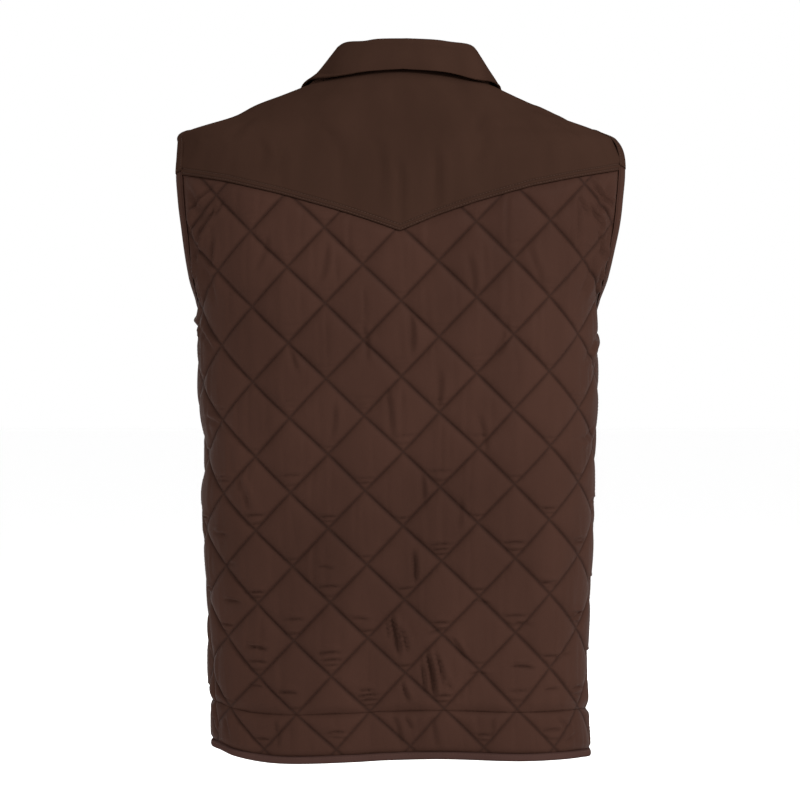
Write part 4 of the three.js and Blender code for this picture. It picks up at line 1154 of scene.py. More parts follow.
def yoke_piece(name, hem, depth, edges, u_span, creases):
    rows, point = yoke_grid(hem, depth)
    us = np.linspace(u_span[0], u_span[1], round((u_span[1] - u_span[0]) / 0.2) + 1)
    fine = trimmed(us, rows, point, edges, 0.35)
    plain_rows = rows[::3] if (len(rows) - 1) % 3 == 0 else np.append(rows[::3], rows[-1])
    plain = trimmed(us[::3], plain_rows, point, edges, 0.9)

    def skin(u, v):
        spot = point(u, v)
        grooves = sum(np.exp(-((v - t) / GROOVE["width"]) ** 2) for t in TOPSTITCH)
        rim = RIM["turned"] * (1 - ease(v / RIM["reach"])) + RIM["between"] * np.exp(-((v - 3.6) / 1.3) ** 2)
        rim = rim * ease((armhole_edge(spot) - 7) / 5)
        s = yoke_share(u, spot[:, 2])
        soft = creased(s, spot[:, 2], creases) if creases else 0
        other = np.min([edge(spot, u, v) for edge in edges], axis=0)
        rounding = 0.7 * np.exp(-(v / 0.55) ** 2) + 1.1 * np.exp(-np.maximum(other, 0) / 1.3)
        rise = YOKE_WALL + rim - GROOVE["depth"] * grooves - rounding + YOKE_FOLD_DEPTH * soft * ease(v / 20)
        return spot + outwards(point, u, v, 0.05) * rise[:, None], grooves
    outer, grooves = skin(fine.u, fine.v)
    for level in TOPSTITCH:
        u = np.linspace(u_span[0], u_span[1], 240)
        v = level + 0 * u
        spot = point(u, v)
        gap = np.min([edge(spot, u, v) for edge in edges], axis=0)
        sew("twill_stitches", skin(u, v)[0], (gap > 1) & (armhole_edge(spot) > STRIP_WIDTH + 0.6))
    across, along = np.concatenate([fine.u, plain.u]), np.concatenate([fine.v, plain.v])
    uv = np.stack([across * YOKE_STRETCH, along], axis=-1)
    # painted shade in the topstitch grooves
    painted_line_shade = 0.8 * np.minimum(grooves, 1)
    thing = closed_cloth(name, fine, outer, plain, point(plain.u, plain.v), TWILL, uv, painted_line_shade)
    print(name, "faces", len(thing.data.polygons))
    return thing


print("yoke helper ready")

# %% [markdown]
# ## Back and front yokes
# The back yoke is trimmed at the shoulder seams, the armholes and the neckline, and the front ones at
# the placket too. At the back the neckline is a little higher in the middle, where the collar sits.

# %% Yoke pieces
def over_shoulder(sign):
    return lambda p, u, v: sign * shoulder_line(p) - SEAM_HALF


def at_neck(p, u, v):
    return neck_edge(p) - SEAM_HALF


def below_collar(p, u, v):
    return neck_lift(p[..., 0]) - p[..., 2]


def yoke_placket(side):
    def edge(p, u, v):
        full = girth(p[..., 2])
        return full * (1 - side * np.asarray(u) * 2 / YOKE_COLUMNS) - PLACKET_HALF - SEAM_HALF
    return edge


back_yoke = yoke_piece("back_yoke_cloth", back_hem, 148.8, [over_shoulder(1), armhole_side, below_collar],
                       (-18, 18), YOKE_CREASES)
keep_piece(back_yoke, "back_yoke", "twill")
for word, side in (("left", 1), ("right", -1)):
    span = (8, 30) if side > 0 else (-30, -8)
    yoke = yoke_piece(f"front_yoke_{word}_cloth", front_hem, 112.0,
                      [over_shoulder(-1), armhole_side, at_neck, yoke_placket(side)], span, [])
    keep_piece(yoke, f"front_yoke_{word}", "twill")

# %% [markdown]
# ## Walls from rows of points
# Collar, placket and binding are long and narrow, so each is a wall between two grids of points. The
# helper closes the wall round its border and is used for all of them.

# %% Grid walls
def grid_wall(name, outer, inner, material, uv, painted_line_shade):
    rows, columns = outer.shape[:2]
    points = np.concatenate([outer.reshape(-1, 3), inner.reshape(-1, 3)])
    index = np.arange(rows * columns).reshape(rows, columns)
    other = index + rows * columns
    faces = []
    for r in range(rows - 1):
        for c in range(columns - 1):
            faces.append([index[r, c], index[r, c + 1], index[r + 1, c + 1], index[r + 1, c]])
            faces.append([other[r, c], other[r + 1, c], other[r + 1, c + 1], other[r, c + 1]])
    for r in range(rows - 1):
        faces.append([index[r, 0], index[r + 1, 0], other[r + 1, 0], other[r, 0]])
        faces.append([index[r + 1, -1], index[r, -1], other[r, -1], other[r + 1, -1]])
    for c in range(columns - 1):
        faces.append([index[0, c + 1], index[0, c], other[0, c], other[0, c + 1]])
        faces.append([index[-1, c], index[-1, c + 1], other[-1, c + 1], other[-1, c]])
    faces = [[int(k) for k in face] for face in faces]
    volume = 0.0
    for face in faces:
        p0 = points[face[0]]
        for m in range(1, len(face) - 1):
            volume += np.dot(p0, np.cross(points[face[m]], points[face[m + 1]]))
    if volume < 0:
        faces = [face[::-1] for face in faces]
    # where the cloth's colour gets painted shade in its grooves; the inside gets none
    marks = np.asarray(painted_line_shade).reshape(-1)
    flat_uv = np.concatenate([uv.reshape(-1, 2)] * 2)
    return mesh_object(name, points, faces, material, flat_uv, {"painted_line_shade": np.concatenate([marks, marks * 0])})


print("grid wall helper ready")

# %% [markdown]
# ## The collar's table
# The collar has two pieces. The stand rises from the neckline, and the fall rolls over its top and
# comes down outside it over the yoke. A table gives, for each share of the way round the neck, where
# the fold and the loose edge lie.

# %% Collar sizes
COLLAR_ROWS = np.array([  # columns: share, then x, y and z of the fold, then x, y and z of the edge
    (0.00, 0, 67, 40.6, 0, 79.5, 10.6),
    (0.15, 33.5, 61, 39.9, 42, 76, 7.7),
    (0.30, 56.5, 42, 37, 75, 56, 1.4),
    (0.44, 63.5, 6, 29.6, 94, 10, 0.5),
    (0.58, 67, -32, 22, 102.5, -36, -1.5),
    (0.72, 66, -66, 5, 99.5, -79.5, -29),
    (0.86, 45, -89, -25, 86, -104, -64),
    (1.00, 5, -99, -44, 60, -116, -94)])
COLLAR_WALL = 2.4
COLLAR_ROLL = 3.3
FOLD_SHIFT, EDGE_SHIFT = -6.2, -2.4
COLLAR_HALF_STEPS = 96
FREE = {"depth": 14.0, "level": 13, "rise": 14}
print("collar table rows", len(COLLAR_ROWS))

# %% [markdown]
# ## Clear of the yoke
# The fall must lie on the yoke without cutting it. One helper tells how far a point is outside the
# form, and the other pushes points out until they are clear. Above the neckline there is nothing to
# stay clear of, so the push fades out there.

# %% Distance from the form
def stand_off(p):
    row = section(p[..., 2])
    front = p[..., 1] < row["middle"]
    power = np.where(front, row["front_power"], row["back_power"])
    depth = np.where(front, row["front"], row["back"])
    a = np.abs((p[..., 0] - row["shift"]) / row["half"]) ** power
    b = np.abs((p[..., 1] - row["middle"]) / depth) ** power
    return (a + b) ** (1 / power) - 1


def slope_of(p):
    grow = np.zeros_like(p)
    for axis in range(3):
        step = np.zeros(3)
        step[axis] = 0.4
        grow[..., axis] = (stand_off(p + step) - stand_off(p - step)) / 0.8
    return grow


def clear_of(p, distance, free=FREE["depth"]):
    q = np.array(p, float)
    for _ in range(14):
        slope = slope_of(q)
        size = np.linalg.norm(slope, axis=-1)
        gap = stand_off(q) / size
        wanted = distance - free * ease((q[..., 2] - FREE["level"]) / FREE["rise"])
        push = np.where(gap > wanted - 0.02, 0, (wanted - gap) * 0.8)
        q += slope * (push / size)[..., None]
    return q


print("helpers for clearance ready")

# %% [markdown]
# ## Stations round the neck
# The neckline is walked from the centre back to the centre front on both sides, in equal steps. Each
# station gets its foot on the neckline, its place on the fold and its place on the loose edge.

# %% Neckline and stations
def neck_curve(side):
    angle = np.pi * np.arange(961) / 960
    z = 0 * angle
    for _ in range(5):
        row = section(z)
        x, y = section_point(row, np.minimum(angle, np.pi / 2))
        z = neck_lift(row["shift"] + side * x)
    behind = np.stack([row["shift"] + side * x, y, z], axis=-1)
    top = section(0.0)
    share = np.sin(np.clip(angle, 0, np.pi)) ** (2 / 2.1)
    fx = top["shift"] + side * NECK["half"] * share
    fz = -NECK["drop"] * np.clip(1 - share ** NECK["width_power"], 0, 1) ** (1 / NECK["drop_power"])
    row = section(fz)
    r = np.clip(np.abs((fx - row["shift"]) / row["half"]), 0, 1)
    fy = row["middle"] - row["front"] * (1 - r ** row["front_power"]) ** (1 / row["front_power"])
    before = np.stack([fx, fy, fz], axis=-1)
    return np.where((angle <= np.pi / 2)[:, None], behind, before)


def spread(rows, count):
    run = np.concatenate([[0], np.cumsum(np.linalg.norm(np.diff(rows, axis=0), axis=1))])
    share = np.linspace(0, 1, count) * run[-1]
    return np.stack([np.interp(share, run, rows[:, k]) for k in range(3)], axis=-1), run[-1]


HALF_GAP = 0.5  # between the collar's front ends
stations = []
for side in (-1, 1):
    rows, neck_half = spread(neck_curve(side), COLLAR_HALF_STEPS + 1)
    short = HALF_GAP / neck_half
    share = np.minimum(np.linspace(0, 1, COLLAR_HALF_STEPS + 1), 1 - short)
    rows[-1] = rows[-2] + (rows[-1] - rows[-2]) * (1 - short * COLLAR_HALF_STEPS)
    along = np.gradient(rows, axis=0) * side
    along /= np.linalg.norm(along, axis=1, keepdims=True)
    along[0] = (1, 0, 0)
    columns = [smooth(share, COLLAR_ROWS, k) for k in range(1, 7)]
    settle = 1 - ease((share - 0.35) / 0.35)
    late = 1 - ease((share - 0.6) / 0.35)
    fold_x = side * columns[0] + NECK["shift"] + (FOLD_SHIFT - NECK["shift"]) * late
    edge_x = side * columns[3] + NECK["shift"] + (EDGE_SHIFT - NECK["shift"]) * settle
    fold = np.stack([fold_x, columns[1], columns[2]], axis=-1)
    edge = np.stack([edge_x, columns[4], columns[5]], axis=-1)
    part = [rows, along, fold, edge]
    stations.append([a[::-1] for a in part] if side < 0 else [a[1:] for a in part])
FOOT, ALONG, FOLD, EDGE = [np.concatenate([stations[0][k], stations[1][k]]) for k in range(4)]
print("neckline half", round(float(neck_half), 1), "mm, stations", len(FOOT))

# %% [markdown]
# ## Directions of the collar
# At each station the stand needs two directions: up, towards the fold, and across, away from the neck.
# They are evened out along the collar, so the cloth has no kinks.

# %% Collar directions
STAND_GAP = 0.72


def unit(a):
    return a / np.maximum(np.linalg.norm(a, axis=-1, keepdims=True), 1e-9)


def soften(field, passes):
    for _ in range(passes):
        middle = field.copy()
        middle[1:-1] = 0.25 * field[:-2] + 0.5 * field[1:-1] + 0.25 * field[2:]
        field = middle
    return field


def collar_frame():
    outside = unit(clear_of(FOOT, 3, 0.0) - FOOT)
    away = unit(np.cross(outside, ALONG))
    away *= np.where(np.sum(away * (FOLD - FOOT), axis=-1) < 0, -1, 1)[:, None]
    base = FOOT + away * (COLLAR_WALL / 2 + STAND_GAP) + outside * (COLLAR_WALL / 2)
    rise = FOLD - base
    up = unit(rise)
    across = unit(np.cross(up, ALONG))
    across *= np.where(np.sum(across * outside, axis=-1) < 0, -1, 1)[:, None]
    return base, up, soften(across, 6), np.linalg.norm(rise, axis=-1)


BASE, UP, ACROSS, TALL = collar_frame()
ACROSS = unit(ACROSS)


def collar_at(height, out):
    return BASE + UP * np.asarray(height)[..., None] + ACROSS * np.asarray(out)[..., None]


print("stand", round(float(TALL.min()), 1), "to", round(float(TALL.max()), 1), "mm tall")

# %% [markdown]
# ## Rows of the stand and the fall
# The stand is straight with a slight bow, and its foot reaches down a little so that no light shows
# under it. The fall starts beside its top, turns over in a half circle and hangs to the loose edge.

# %% Collar rows
FOOT_REACH = 1.7
FALL_STEPS = 44
r = COLLAR_ROLL
stand_rows = [collar_at(-FOOT_REACH + t * (TALL - 2.6 * r + FOOT_REACH), 0 * TALL + 0.5 * math.sin(math.pi * t))
              for t in np.linspace(0, 1, 12)]
turn_rows = [collar_at(TALL - 2.6 * r + 0.9 + t * (r - 0.9), 0 * TALL) for t in (0, 0.5, 1)]
for degrees in range(170, 9, -16):
    turn = math.radians(degrees)
    turn_rows.append(collar_at(TALL - r + r * math.sin(turn), 0 * TALL + r + r * math.cos(turn)))
start = collar_at(TALL - 1.6 * r, 0 * TALL + 2 * r + 0.3)
for k in range(FALL_STEPS + 1):
    t = k / FALL_STEPS
    p = start * (1 - t) + EDGE * t + ACROSS * 2.4 * math.sin(math.pi * t)
    turn_rows.append(clear_of(p, YOKE_WALL + COLLAR_WALL / 2 + 2.0))
print("rows of the stand", len(stand_rows), "and of the fall", len(turn_rows))

# %% [markdown]
# ## Collar stand and fall
# Both become walls of the cloth's thickness. The fall has one row of topstitching near its loose edge,
# which presses a shallow groove.

# %% Collar pieces
COLLAR_STITCH = 7.5


def lengths(grid, axis):
    steps = np.linalg.norm(np.diff(grid, axis=axis), axis=-1)
    return np.cumsum(np.insert(steps, 0, 0, axis=axis), axis=axis)


def wall_of(rows, wall, name, edge_groove=False):
    grid = np.stack(rows)
    du = np.gradient(grid, axis=0)
    dv = np.gradient(grid, axis=1)
    n = unit(np.cross(du, dv))
    if np.mean(np.sum(n[0] * ACROSS, axis=-1)) < 0 and not edge_groove:
        n = -n
    run, side_run = lengths(grid, 0), lengths(grid, 1)
    to_edge = run[-1:] - run
    groove = np.exp(-((to_edge - COLLAR_STITCH) / 0.8) ** 2) if edge_groove else 0 * run
    rim = np.exp(-(to_edge / 0.7) ** 2) if edge_groove else 0 * run
    outer = grid + n * (wall / 2 - 0.4 * groove - 0.5 * rim)[..., None]
    inner = grid - n * (wall / 2 - 0.2 * rim)[..., None]
    middle = side_run[:, side_run.shape[1] // 2][:, None]
    uv = np.stack([side_run - middle, run], axis=-1)
    if edge_groove:
        line = [[np.interp(COLLAR_STITCH, to_edge[::-1, c], outer[::-1, c, k]) for k in range(3)]
                for c in range(2, grid.shape[1] - 2)]
        sew("twill_stitches", np.array(line))
    # painted shade in the topstitch groove near the loose edge
    return grid_wall(name, outer, inner, TWILL, uv, 0.7 * groove)


collar_stand = wall_of(stand_rows, COLLAR_WALL, "collar_stand_cloth")
collar_fall = wall_of(turn_rows, COLLAR_WALL, "collar_fall_cloth", True)
keep_piece(collar_stand, "collar_stand", "twill")
keep_piece(collar_fall, "collar_fall", "twill")
print("collar made")

# %% [markdown]
# ## Hem binding
# One narrow length wraps the lower edge from placket to placket. Its section is a soft round, a
# little fuller than the band above it.

# %% Binding strip
BINDING_WALL, BINDING_EDGE = 4.9, 1.2
levels = np.linspace(BAND_END + 0.5, HEM, 15)
q = np.linspace(-1, 1, 15)
rise = BINDING_EDGE + (BINDING_WALL - BINDING_EDGE) * np.sqrt(np.clip(1 - np.abs(q) ** 2.6, 0, 1))
end = girth(levels) - PLACKET_HALF - SEAM_HALF
share = np.linspace(-1, 1, 421)
S = end[:, None] * share[None, :]
Z = levels[:, None] + 0 * S
spot = form_point(S, Z)
n = outwards(form_point, S, Z, 0.5)
wave = 0.16 * np.sin(S / 2.1 + 1.4 * np.sin(S / 23)) * np.exp(-((q[:, None] + 0.62) / 0.25) ** 2)
outer = spot + n * (rise[:, None] + wave)[..., None]
inner = spot + n * (0.2 - 0.2 * np.sqrt(np.clip(1 - q**2, 0, 1)))[:, None, None]
hem_binding = grid_wall("hem_binding_cloth", outer, inner, BINDING, np.stack([S, Z], axis=-1), 0 * S)
keep_piece(hem_binding, "hem_binding", "binding_cloth")
sew("trim_stitches", outer[3, 1:-1])
print("binding length", round(2 * float(end[0])), "mm")

# %% [markdown]
# ## Front placket
# A plain folded strip covers the front opening from the neckline to the hem. Two lines of topstitching
# run down its sides.

# %% Placket strip
def placket_point(t, z):
    return form_point(np.where(t < 0, -1, 1) * (girth(z) - np.abs(t)), z)


PLACKET_WALL = 4.6
PLACKET_STITCH = 13.8
inset = PLACKET_HALF - SEAM_HALF
ts = inset * np.array([-1, -.985, -.96, -.92, -.86, -.8, -.76, -.72, -.66, -.5, -.3, -.1, .1, .3, .5, .66,
                       .72, .76, .8, .86, .92, .96, .985, 1])
zs = np.linspace(-NECK["drop"] - 0.6, HEM, 260)
T, Z = np.meshgrid(ts, zs)
spot = placket_point(T, Z)
n = outwards(placket_point, T + 0.01, Z, 0.5)
n[..., 0] *= 0.2
n = unit(n)
groove = np.exp(-((np.abs(T) - PLACKET_STITCH) / 0.8) ** 2)
edge_round = 1.1 * np.clip((np.abs(T) / inset - 0.9) / 0.1, 0, 1) ** 2
soft = 0.35 * np.sin(Z / 31 + 0.8 * np.sin(Z / 57)) * np.cos(T / 9) + 0.12 * np.sin(Z / 2.4) * groove
rise = PLACKET_WALL - 0.45 * groove - edge_round + soft * np.clip(1 - np.abs(T) / inset, 0, 1)
outer = spot + n * rise[..., None]
# painted shade in the two topstitch grooves
front_placket = grid_wall("front_placket_cloth", outer, spot, PLACKET_CLOTH, np.stack([T, Z], axis=-1), groove)
keep_piece(front_placket, "front_placket", "placket_cloth")
for column in (6, len(ts) - 7):
    sew("trim_stitches", outer[2:-2, column])
print("placket", round(float(zs[0] - zs[-1])), "mm long")

# %% [markdown]
# ## Armhole edges
# The cloth is turned over at each armhole and stitched down, which leaves a flat band beside the
# opening. A thin strip is swept round the oval: its section starts inside the vest, goes round the
# cut edge and lies flat on the outside. Above the yoke seam it is twill, below it quilted cloth.

# %% Strip sizes and paths
STRIP_ROWS = np.array([  # columns: across the cloth from the cut edge, height above the form
    (8.0, -1.4), (5.0, -1.6), (1.4, -1.6), (-0.5, -1.2), (-1.5, 0.0), (-1.7, 1.4), (-1.2, 2.7), (0.3, 3.5),
    (2.4, 3.85), (4.8, 3.85), (6.8, 3.7), (7.5, 3.55), (8.0, 3.25), (8.5, 3.35), (9.1, 3.2), (9.7, 2.8)])
STRIP_THICK = 0.8
STRIP_STITCH = 12  # the row of the table that the stitches run along
STRIP_ON_TOP = 9  # a row of the table that lies on the outside
STRIP_STEP = 0.035
TABLE_TOP = 3.75


def side_point(side, y, z):
    row = section(z)
    front = y < row["middle"]
    power = np.where(front, row["front_power"], row["back_power"])
    depth = np.where(front, row["front"], row["back"])
    t = np.clip(np.abs((y - row["middle"]) / depth), 0, 0.995)
    x = row["half"] * (1 - t ** power) ** (1 / power)
    return np.stack([row["shift"] + side * x, y, z], axis=-1)


def strip_point(side, turn, across):
    power = 2 / ARMHOLE["power"]
    cosine, sine = np.cos(turn), np.sin(turn)
    y = ARMHOLE["y"] + ARMHOLE["depth"] * np.sign(cosine) * np.abs(cosine) ** power
    z = ARMHOLE["z"] + ARMHOLE["height"] * np.sign(sine) * np.abs(sine) ** power
    y, z, across = [a.copy() for a in np.broadcast_arrays(y, z, across)]
    for _ in range(10):
        a, b = (y - ARMHOLE["y"]) / ARMHOLE["depth"], (z - ARMHOLE["z"]) / ARMHOLE["height"]
        ny = np.sign(a) * np.abs(a) ** (ARMHOLE["power"] - 1) / ARMHOLE["depth"]
        nz = np.sign(b) * np.abs(b) ** (ARMHOLE["power"] - 1) / ARMHOLE["height"]
        size = np.hypot(ny, nz)
        ny, nz = ny / size, nz / size
        rate = np.linalg.norm(side_point(side, y + ny, z + nz) - side_point(side, y, z), axis=-1)
        y = y + ny * across / 10 / rate
        z = z + nz * across / 10 / rate
    return side_point(side, y, z)


print("strip rows", len(STRIP_ROWS))

# %% [markdown]
# ## Strips of yoke and body cloth
# The strip round each armhole changes its cloth at the yoke seams, so it is made in two lengths. Its
# stitches lie in the shallow groove near its outer border.

# %% Armhole strips
YOKE_ENDS = {"left": -89.1, "right": -84.4, "front": -98.5}
BODY_STRIP_TOP = 3.0
ROOM = 0.002


def strip(name, side, start, end, top, material, kind, slot):
    columns = round((end - start) / STRIP_STEP)
    turn = np.linspace(start, end, columns + 1)[None, :]
    across = STRIP_ROWS[:, :1]
    height = np.where(STRIP_ROWS[:, 1:] > 0, STRIP_ROWS[:, 1:] * top / TABLE_TOP, STRIP_ROWS[:, 1:])
    height = height + 0.12 * np.sin(turn * 31 + 2 * np.sin(turn * 9)) * (across > 2)
    spot = strip_point(side, turn, across + 0 * turn)
    middle = spot + unit(slope_of(spot)) * height[..., None]
    facing = unit(np.cross(np.gradient(middle, axis=0), np.gradient(middle, axis=1)))
    outer, inner = middle + facing * STRIP_THICK / 2, middle - facing * STRIP_THICK / 2
    if np.sum((outer - inner)[STRIP_ON_TOP] * unit(slope_of(spot[STRIP_ON_TOP]))) < 0:
        outer, inner = inner, outer
    path = middle[STRIP_ON_TOP]
    run = np.cumsum(np.linalg.norm(np.diff(path, axis=0, prepend=path[:1]), axis=-1))
    reach = np.cumsum(np.hypot(*np.diff(STRIP_ROWS, axis=0, prepend=STRIP_ROWS[:1]).T))
    uv = np.stack(np.broadcast_arrays(run[None, :], reach[:, None]), axis=-1)
    # painted shade in the groove where the strip is stitched down
    mark = np.exp(-((across - 8.0) / 0.5) ** 2) * np.where(STRIP_ROWS[:, 1:] > 0, 1, 0) + 0 * turn
    thing = grid_wall(name, outer, inner, material, uv, 0.8 * mark)
    sew(kind, outer[STRIP_STITCH, 1:-1])
    return keep_piece(thing, None, slot)


def turn_at(level):
    return math.asin(((level - ARMHOLE["z"]) / ARMHOLE["height"]) ** (ARMHOLE["power"] / 2))


for word, side in (("left", 1), ("right", -1)):
    first, last = turn_at(YOKE_ENDS[word]), math.pi - turn_at(YOKE_ENDS["front"])
    strip(f"armhole_strip_yoke_{word}", side, first + ROOM, last - ROOM, TABLE_TOP, TWILL,
          "twill_stitches", "twill")
    strip(f"armhole_strip_body_{word}", side, last + ROOM, first + 2 * math.pi - ROOM, BODY_STRIP_TOP,
          QUILT_CLOTH, "quilting_stitches", "quilted_cloth")
print("armhole strips made")

# %% [markdown]
# ## Snap caps
# The caps are painted to match the cloth. Their solids are already the right shape, so they stay and
# only take a satin paint, with a little wear in its roughness.

# %% Snap paint
paint = bpy.data.materials.new("snap_paint")
paint.use_nodes = True
tree = paint.node_tree
shader = tree.nodes["Principled BSDF"]
shader.inputs["Metallic"].default_value = 0.1
shader.inputs["Specular IOR Level"].default_value = 0.2
wear = noise(tree, add(tree, "ShaderNodeTexCoord").outputs["Object"], 420.0, 4.0)
tone = add(tree, "ShaderNodeRGB")
tone.outputs[0].default_value = (0.048, 0.026, 0.018, 1)
worn = tinted(tree, tone.outputs[0], remapped(tree, wear, 0.85, 1.15, 0.3, 0.7), "wear")
link(tree, worn, shader.inputs["Base Color"])
link(tree, remapped(tree, wear, 0.28, 0.5, 0.3, 0.7), shader.inputs["Roughness"])
link(tree, bump(tree, wear, 0.00008, 0.3), shader.inputs["Normal"])
for k in range(1, 7):
    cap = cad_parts[f"snap_{k}"]
    cap.data.materials.clear()
    cap.data.materials.append(paint)
print("snap caps painted")

# %% [markdown]
# ## Thread
# Sewing thread is matt and slightly uneven. Noise on a very small scale varies its tone and its
# roughness, as the twist of the strands does.

# %% Thread material
def thread_material(name, colour):
    material = bpy.data.materials.new(name)
    material.use_nodes = True
    tree = material.node_tree
    shader = tree.nodes["Principled BSDF"]
    shader.inputs["Specular IOR Level"].default_value = 0.15
    place = add(tree, "ShaderNodeTexCoord").outputs["Object"]
    twist = noise(tree, place, 900.0, 2.0)
    base = add(tree, "ShaderNodeRGB")
    base.outputs[0].default_value = (*colour, 1)
    uneven = tinted(tree, base.outputs[0], remapped(tree, twist, 0.8, 1.2, 0.3, 0.7), "twist")
    link(tree, uneven, shader.inputs["Base Color"])
    link(tree, remapped(tree, twist, 0.6, 0.8, 0.3, 0.7), shader.inputs["Roughness"])
    link(tree, bump(tree, twist, 0.0001, 0.3), shader.inputs["Normal"])
    return material


print("thread helper ready")

# %% [markdown]
# ## A tree that sews
# Every seam line was kept as a run of points while its piece was made. Geometry Nodes turns each run
# into a curve, places one small thread bead per stitch along it and makes the result real. Modelling
# them by hand would take thousands of copies, and a texture would not catch the light.

# %% Stitch tree
def stitch_tree(material):
    tree = bpy.data.node_groups.new("stitch_rows", "GeometryNodeTree")
    tree.interface.new_socket("Geometry", in_out="INPUT", socket_type="NodeSocketGeometry")
    for name, value in (("Pitch", 0.0032), ("Length", 0.0021), ("Thread", 0.0005)):
        tree.interface.new_socket(name, in_out="INPUT", socket_type="NodeSocketFloat").default_value = value
    tree.interface.new_socket("Geometry", in_out="OUTPUT", socket_type="NodeSocketGeometry")
    start, end = add(tree, "NodeGroupInput"), add(tree, "NodeGroupOutput")
    curve = add(tree, "GeometryNodeMeshToCurve")
    places = add(tree, "GeometryNodeCurveToPoints", mode="LENGTH")
    bead = add(tree, "GeometryNodeMeshIcoSphere")
    bead.inputs["Subdivisions"].default_value = 1
    bead.inputs["Radius"].default_value = 0.5
    size = add(tree, "ShaderNodeCombineXYZ")
    copies = add(tree, "GeometryNodeInstanceOnPoints")
    real = add(tree, "GeometryNodeRealizeInstances")
    finish = add(tree, "GeometryNodeSetMaterial")
    finish.inputs["Material"].default_value = material
    link(tree, start.outputs["Geometry"], curve.inputs[0])
    link(tree, curve.outputs[0], places.inputs["Curve"])
    link(tree, start.outputs["Pitch"], places.inputs["Length"])
    link(tree, places.outputs["Points"], copies.inputs["Points"])
    link(tree, places.outputs["Rotation"], copies.inputs["Rotation"])
    link(tree, bead.outputs["Mesh"], copies.inputs["Instance"])
    link(tree, start.outputs["Thread"], size.inputs["X"])
    link(tree, start.outputs["Thread"], size.inputs["Y"])
    link(tree, start.outputs["Length"], size.inputs["Z"])
    link(tree, size.outputs["Vector"], copies.inputs["Scale"])
    link(tree, copies.outputs["Instances"], real.inputs["Geometry"])
    link(tree, real.outputs["Geometry"], finish.inputs["Geometry"])
    link(tree, finish.outputs["Geometry"], end.inputs["Geometry"])
    return tree


print("stitch tree helper ready")

# %% [markdown]
# ## Sewing the vest
# The runs of one kind of thread become one piece. Its sizes are set on the modifier's named inputs
# before it is first evaluated, and the result is turned into a plain mesh.

# %% Stitches
def stitched_piece(name, runs, colour, pitch, length, thread):
    points = np.concatenate(runs) * MM
    edges, first = [], 0
    for run in runs:
        edges += [(first + k, first + k + 1) for k in range(len(run) - 1)]
        first += len(run)
    path = bpy.data.meshes.new(name + "_path")
    path.from_pydata(points.tolist(), edges, [])
    guide = bpy.data.objects.new(name + "_path", path)
    bpy.context.collection.objects.link(guide)
    rows = guide.modifiers.new("stitches", "NODES")
    rows.node_group = stitch_tree(thread_material(name + "_thread", colour))
    sizes = {"Pitch": pitch, "Length": length, "Thread": thread}
    for item in rows.node_group.interface.items_tree:
        if item.name in sizes:
            rows[item.identifier] = sizes[item.name]
    solid = bpy.data.meshes.new_from_object(guide.evaluated_get(bpy.context.evaluated_depsgraph_get()))
    guide.modifiers.clear()
    bpy.data.objects.remove(guide)
    solid.name = name
    thing = bpy.data.objects.new(name, solid)
    bpy.context.collection.objects.link(thing)
    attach(thing, "root")
    print(name, "rows", len(runs), "stitches", len(solid.polygons) // 20)
    return thing


THREADS = [
    ("quilting_stitches", "quilted_cloth", (0.020, 0.0085, 0.006), 0.0034, 0.0022, 0.00055),
    ("twill_stitches", "twill", (0.060, 0.033, 0.023), 0.0030, 0.0021, 0.0006),
    ("trim_stitches", "binding_cloth", (0.056, 0.029, 0.021), 0.0030, 0.0021, 0.0006)]
for name, slot, colour, pitch, length, thread in THREADS:
    stitched_piece(name, SEWN[name], colour, pitch, length, thread)

# %% [markdown]
# ## Camera
# The picture was taken from straight behind, from far enough away that the vest's sides hardly
# converge. A long lens at two and a half metres gives the same view.

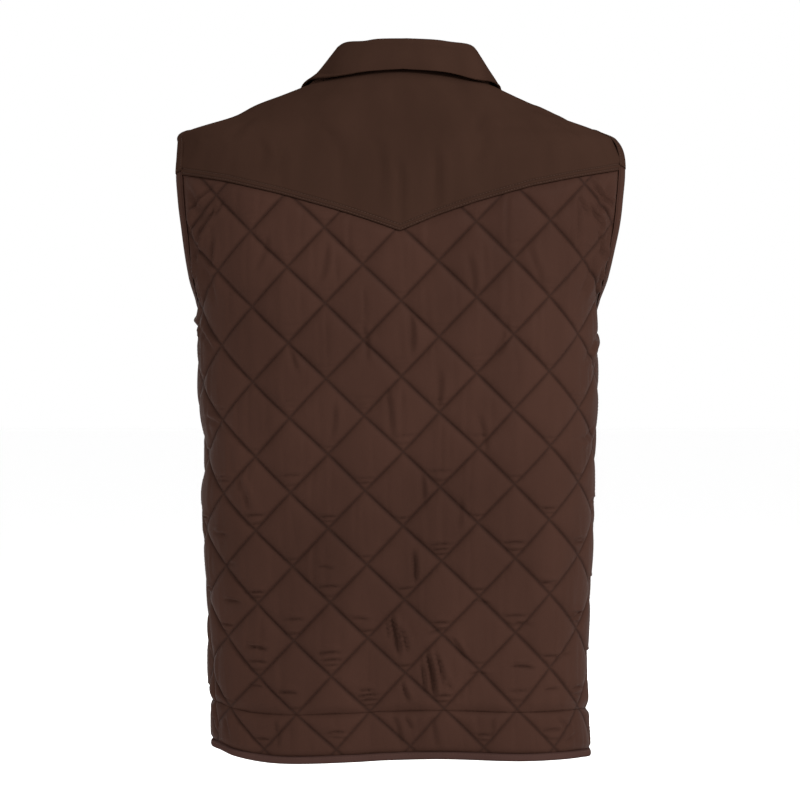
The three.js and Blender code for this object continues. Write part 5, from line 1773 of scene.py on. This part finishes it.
# %% Camera
VIEW_TARGET = (0.0005, 0, -0.310)
VIEW_FROM = (0.0005, 2.5, -0.310)
bpy.context.scene.view_settings.view_transform = "Standard"
lens = bpy.data.cameras.new("camera")
lens.lens = 112.5
lens.sensor_width = 36
camera = bpy.data.objects.new("camera", lens)
bpy.context.collection.objects.link(camera)
camera.location = VIEW_FROM
camera.rotation_mode = "QUATERNION"
direction = np.array(VIEW_TARGET) - np.array(VIEW_FROM)
camera.rotation_quaternion = mathutils.Vector(direction).to_track_quat("-Z", "Y")
bpy.context.scene.camera = camera
print("camera", VIEW_FROM, "lens", lens.lens, "mm")

# %% [markdown]
# ## Floor
# A large pale floor lies just below the hem. It is part of the studio and not of the vest.

# %% Floor
FLOOR_HALF, FLOOR_LEVEL = 40, -0.80
corners = [(x, y, FLOOR_LEVEL) for x, y in ((-1, -1), (1, -1), (1, 1), (-1, 1))]
floor_mesh = bpy.data.meshes.new("floor")
floor_mesh.from_pydata([(x * FLOOR_HALF, y * FLOOR_HALF, z) for x, y, z in corners], [], [(0, 1, 2, 3)])
floor = bpy.data.objects.new("floor", floor_mesh)
bpy.context.collection.objects.link(floor)
pale = bpy.data.materials.new("pale_floor")
pale.use_nodes = True
shader = pale.node_tree.nodes["Principled BSDF"]
shader.inputs["Base Color"].default_value = (0.99, 0.99, 0.99, 1)
shader.inputs["Roughness"].default_value = 0.9
floor_mesh.materials.append(pale)
print("floor at", FLOOR_LEVEL, "m")

# %% [markdown]
# ## Light
# A white studio surrounds the vest, with one soft lamp high on the right of the picture. It grazes
# the quilting, so the lines that fall to the right show darker than the others.

# %% Studio light
world = bpy.data.worlds.new("studio")
bpy.context.scene.world = world
world.use_nodes = True
world.node_tree.nodes["Background"].inputs["Color"].default_value = (1, 1, 1, 1)
world.node_tree.nodes["Background"].inputs["Strength"].default_value = 1.0
LAMPS = [  # columns: name, place, watts, width
    ("key", (-1.9, 2.1, 1.3), 68, 0.7), ("front", (0.6, -2.6, 0.9), 60, 1.6)]
LIT_SPOT = (0, 0, -0.3)
for name, location, energy, size in LAMPS:
    lamp = bpy.data.lights.new(name, "AREA")
    lamp.energy = energy
    lamp.size = size
    thing = bpy.data.objects.new(name, lamp)
    bpy.context.collection.objects.link(thing)
    thing.location = location
    toward = mathutils.Vector(LIT_SPOT) - mathutils.Vector(location)
    thing.rotation_euler = toward.to_track_quat("-Z", "Y").to_euler()
print("lamps", [row[0] for row in LAMPS])
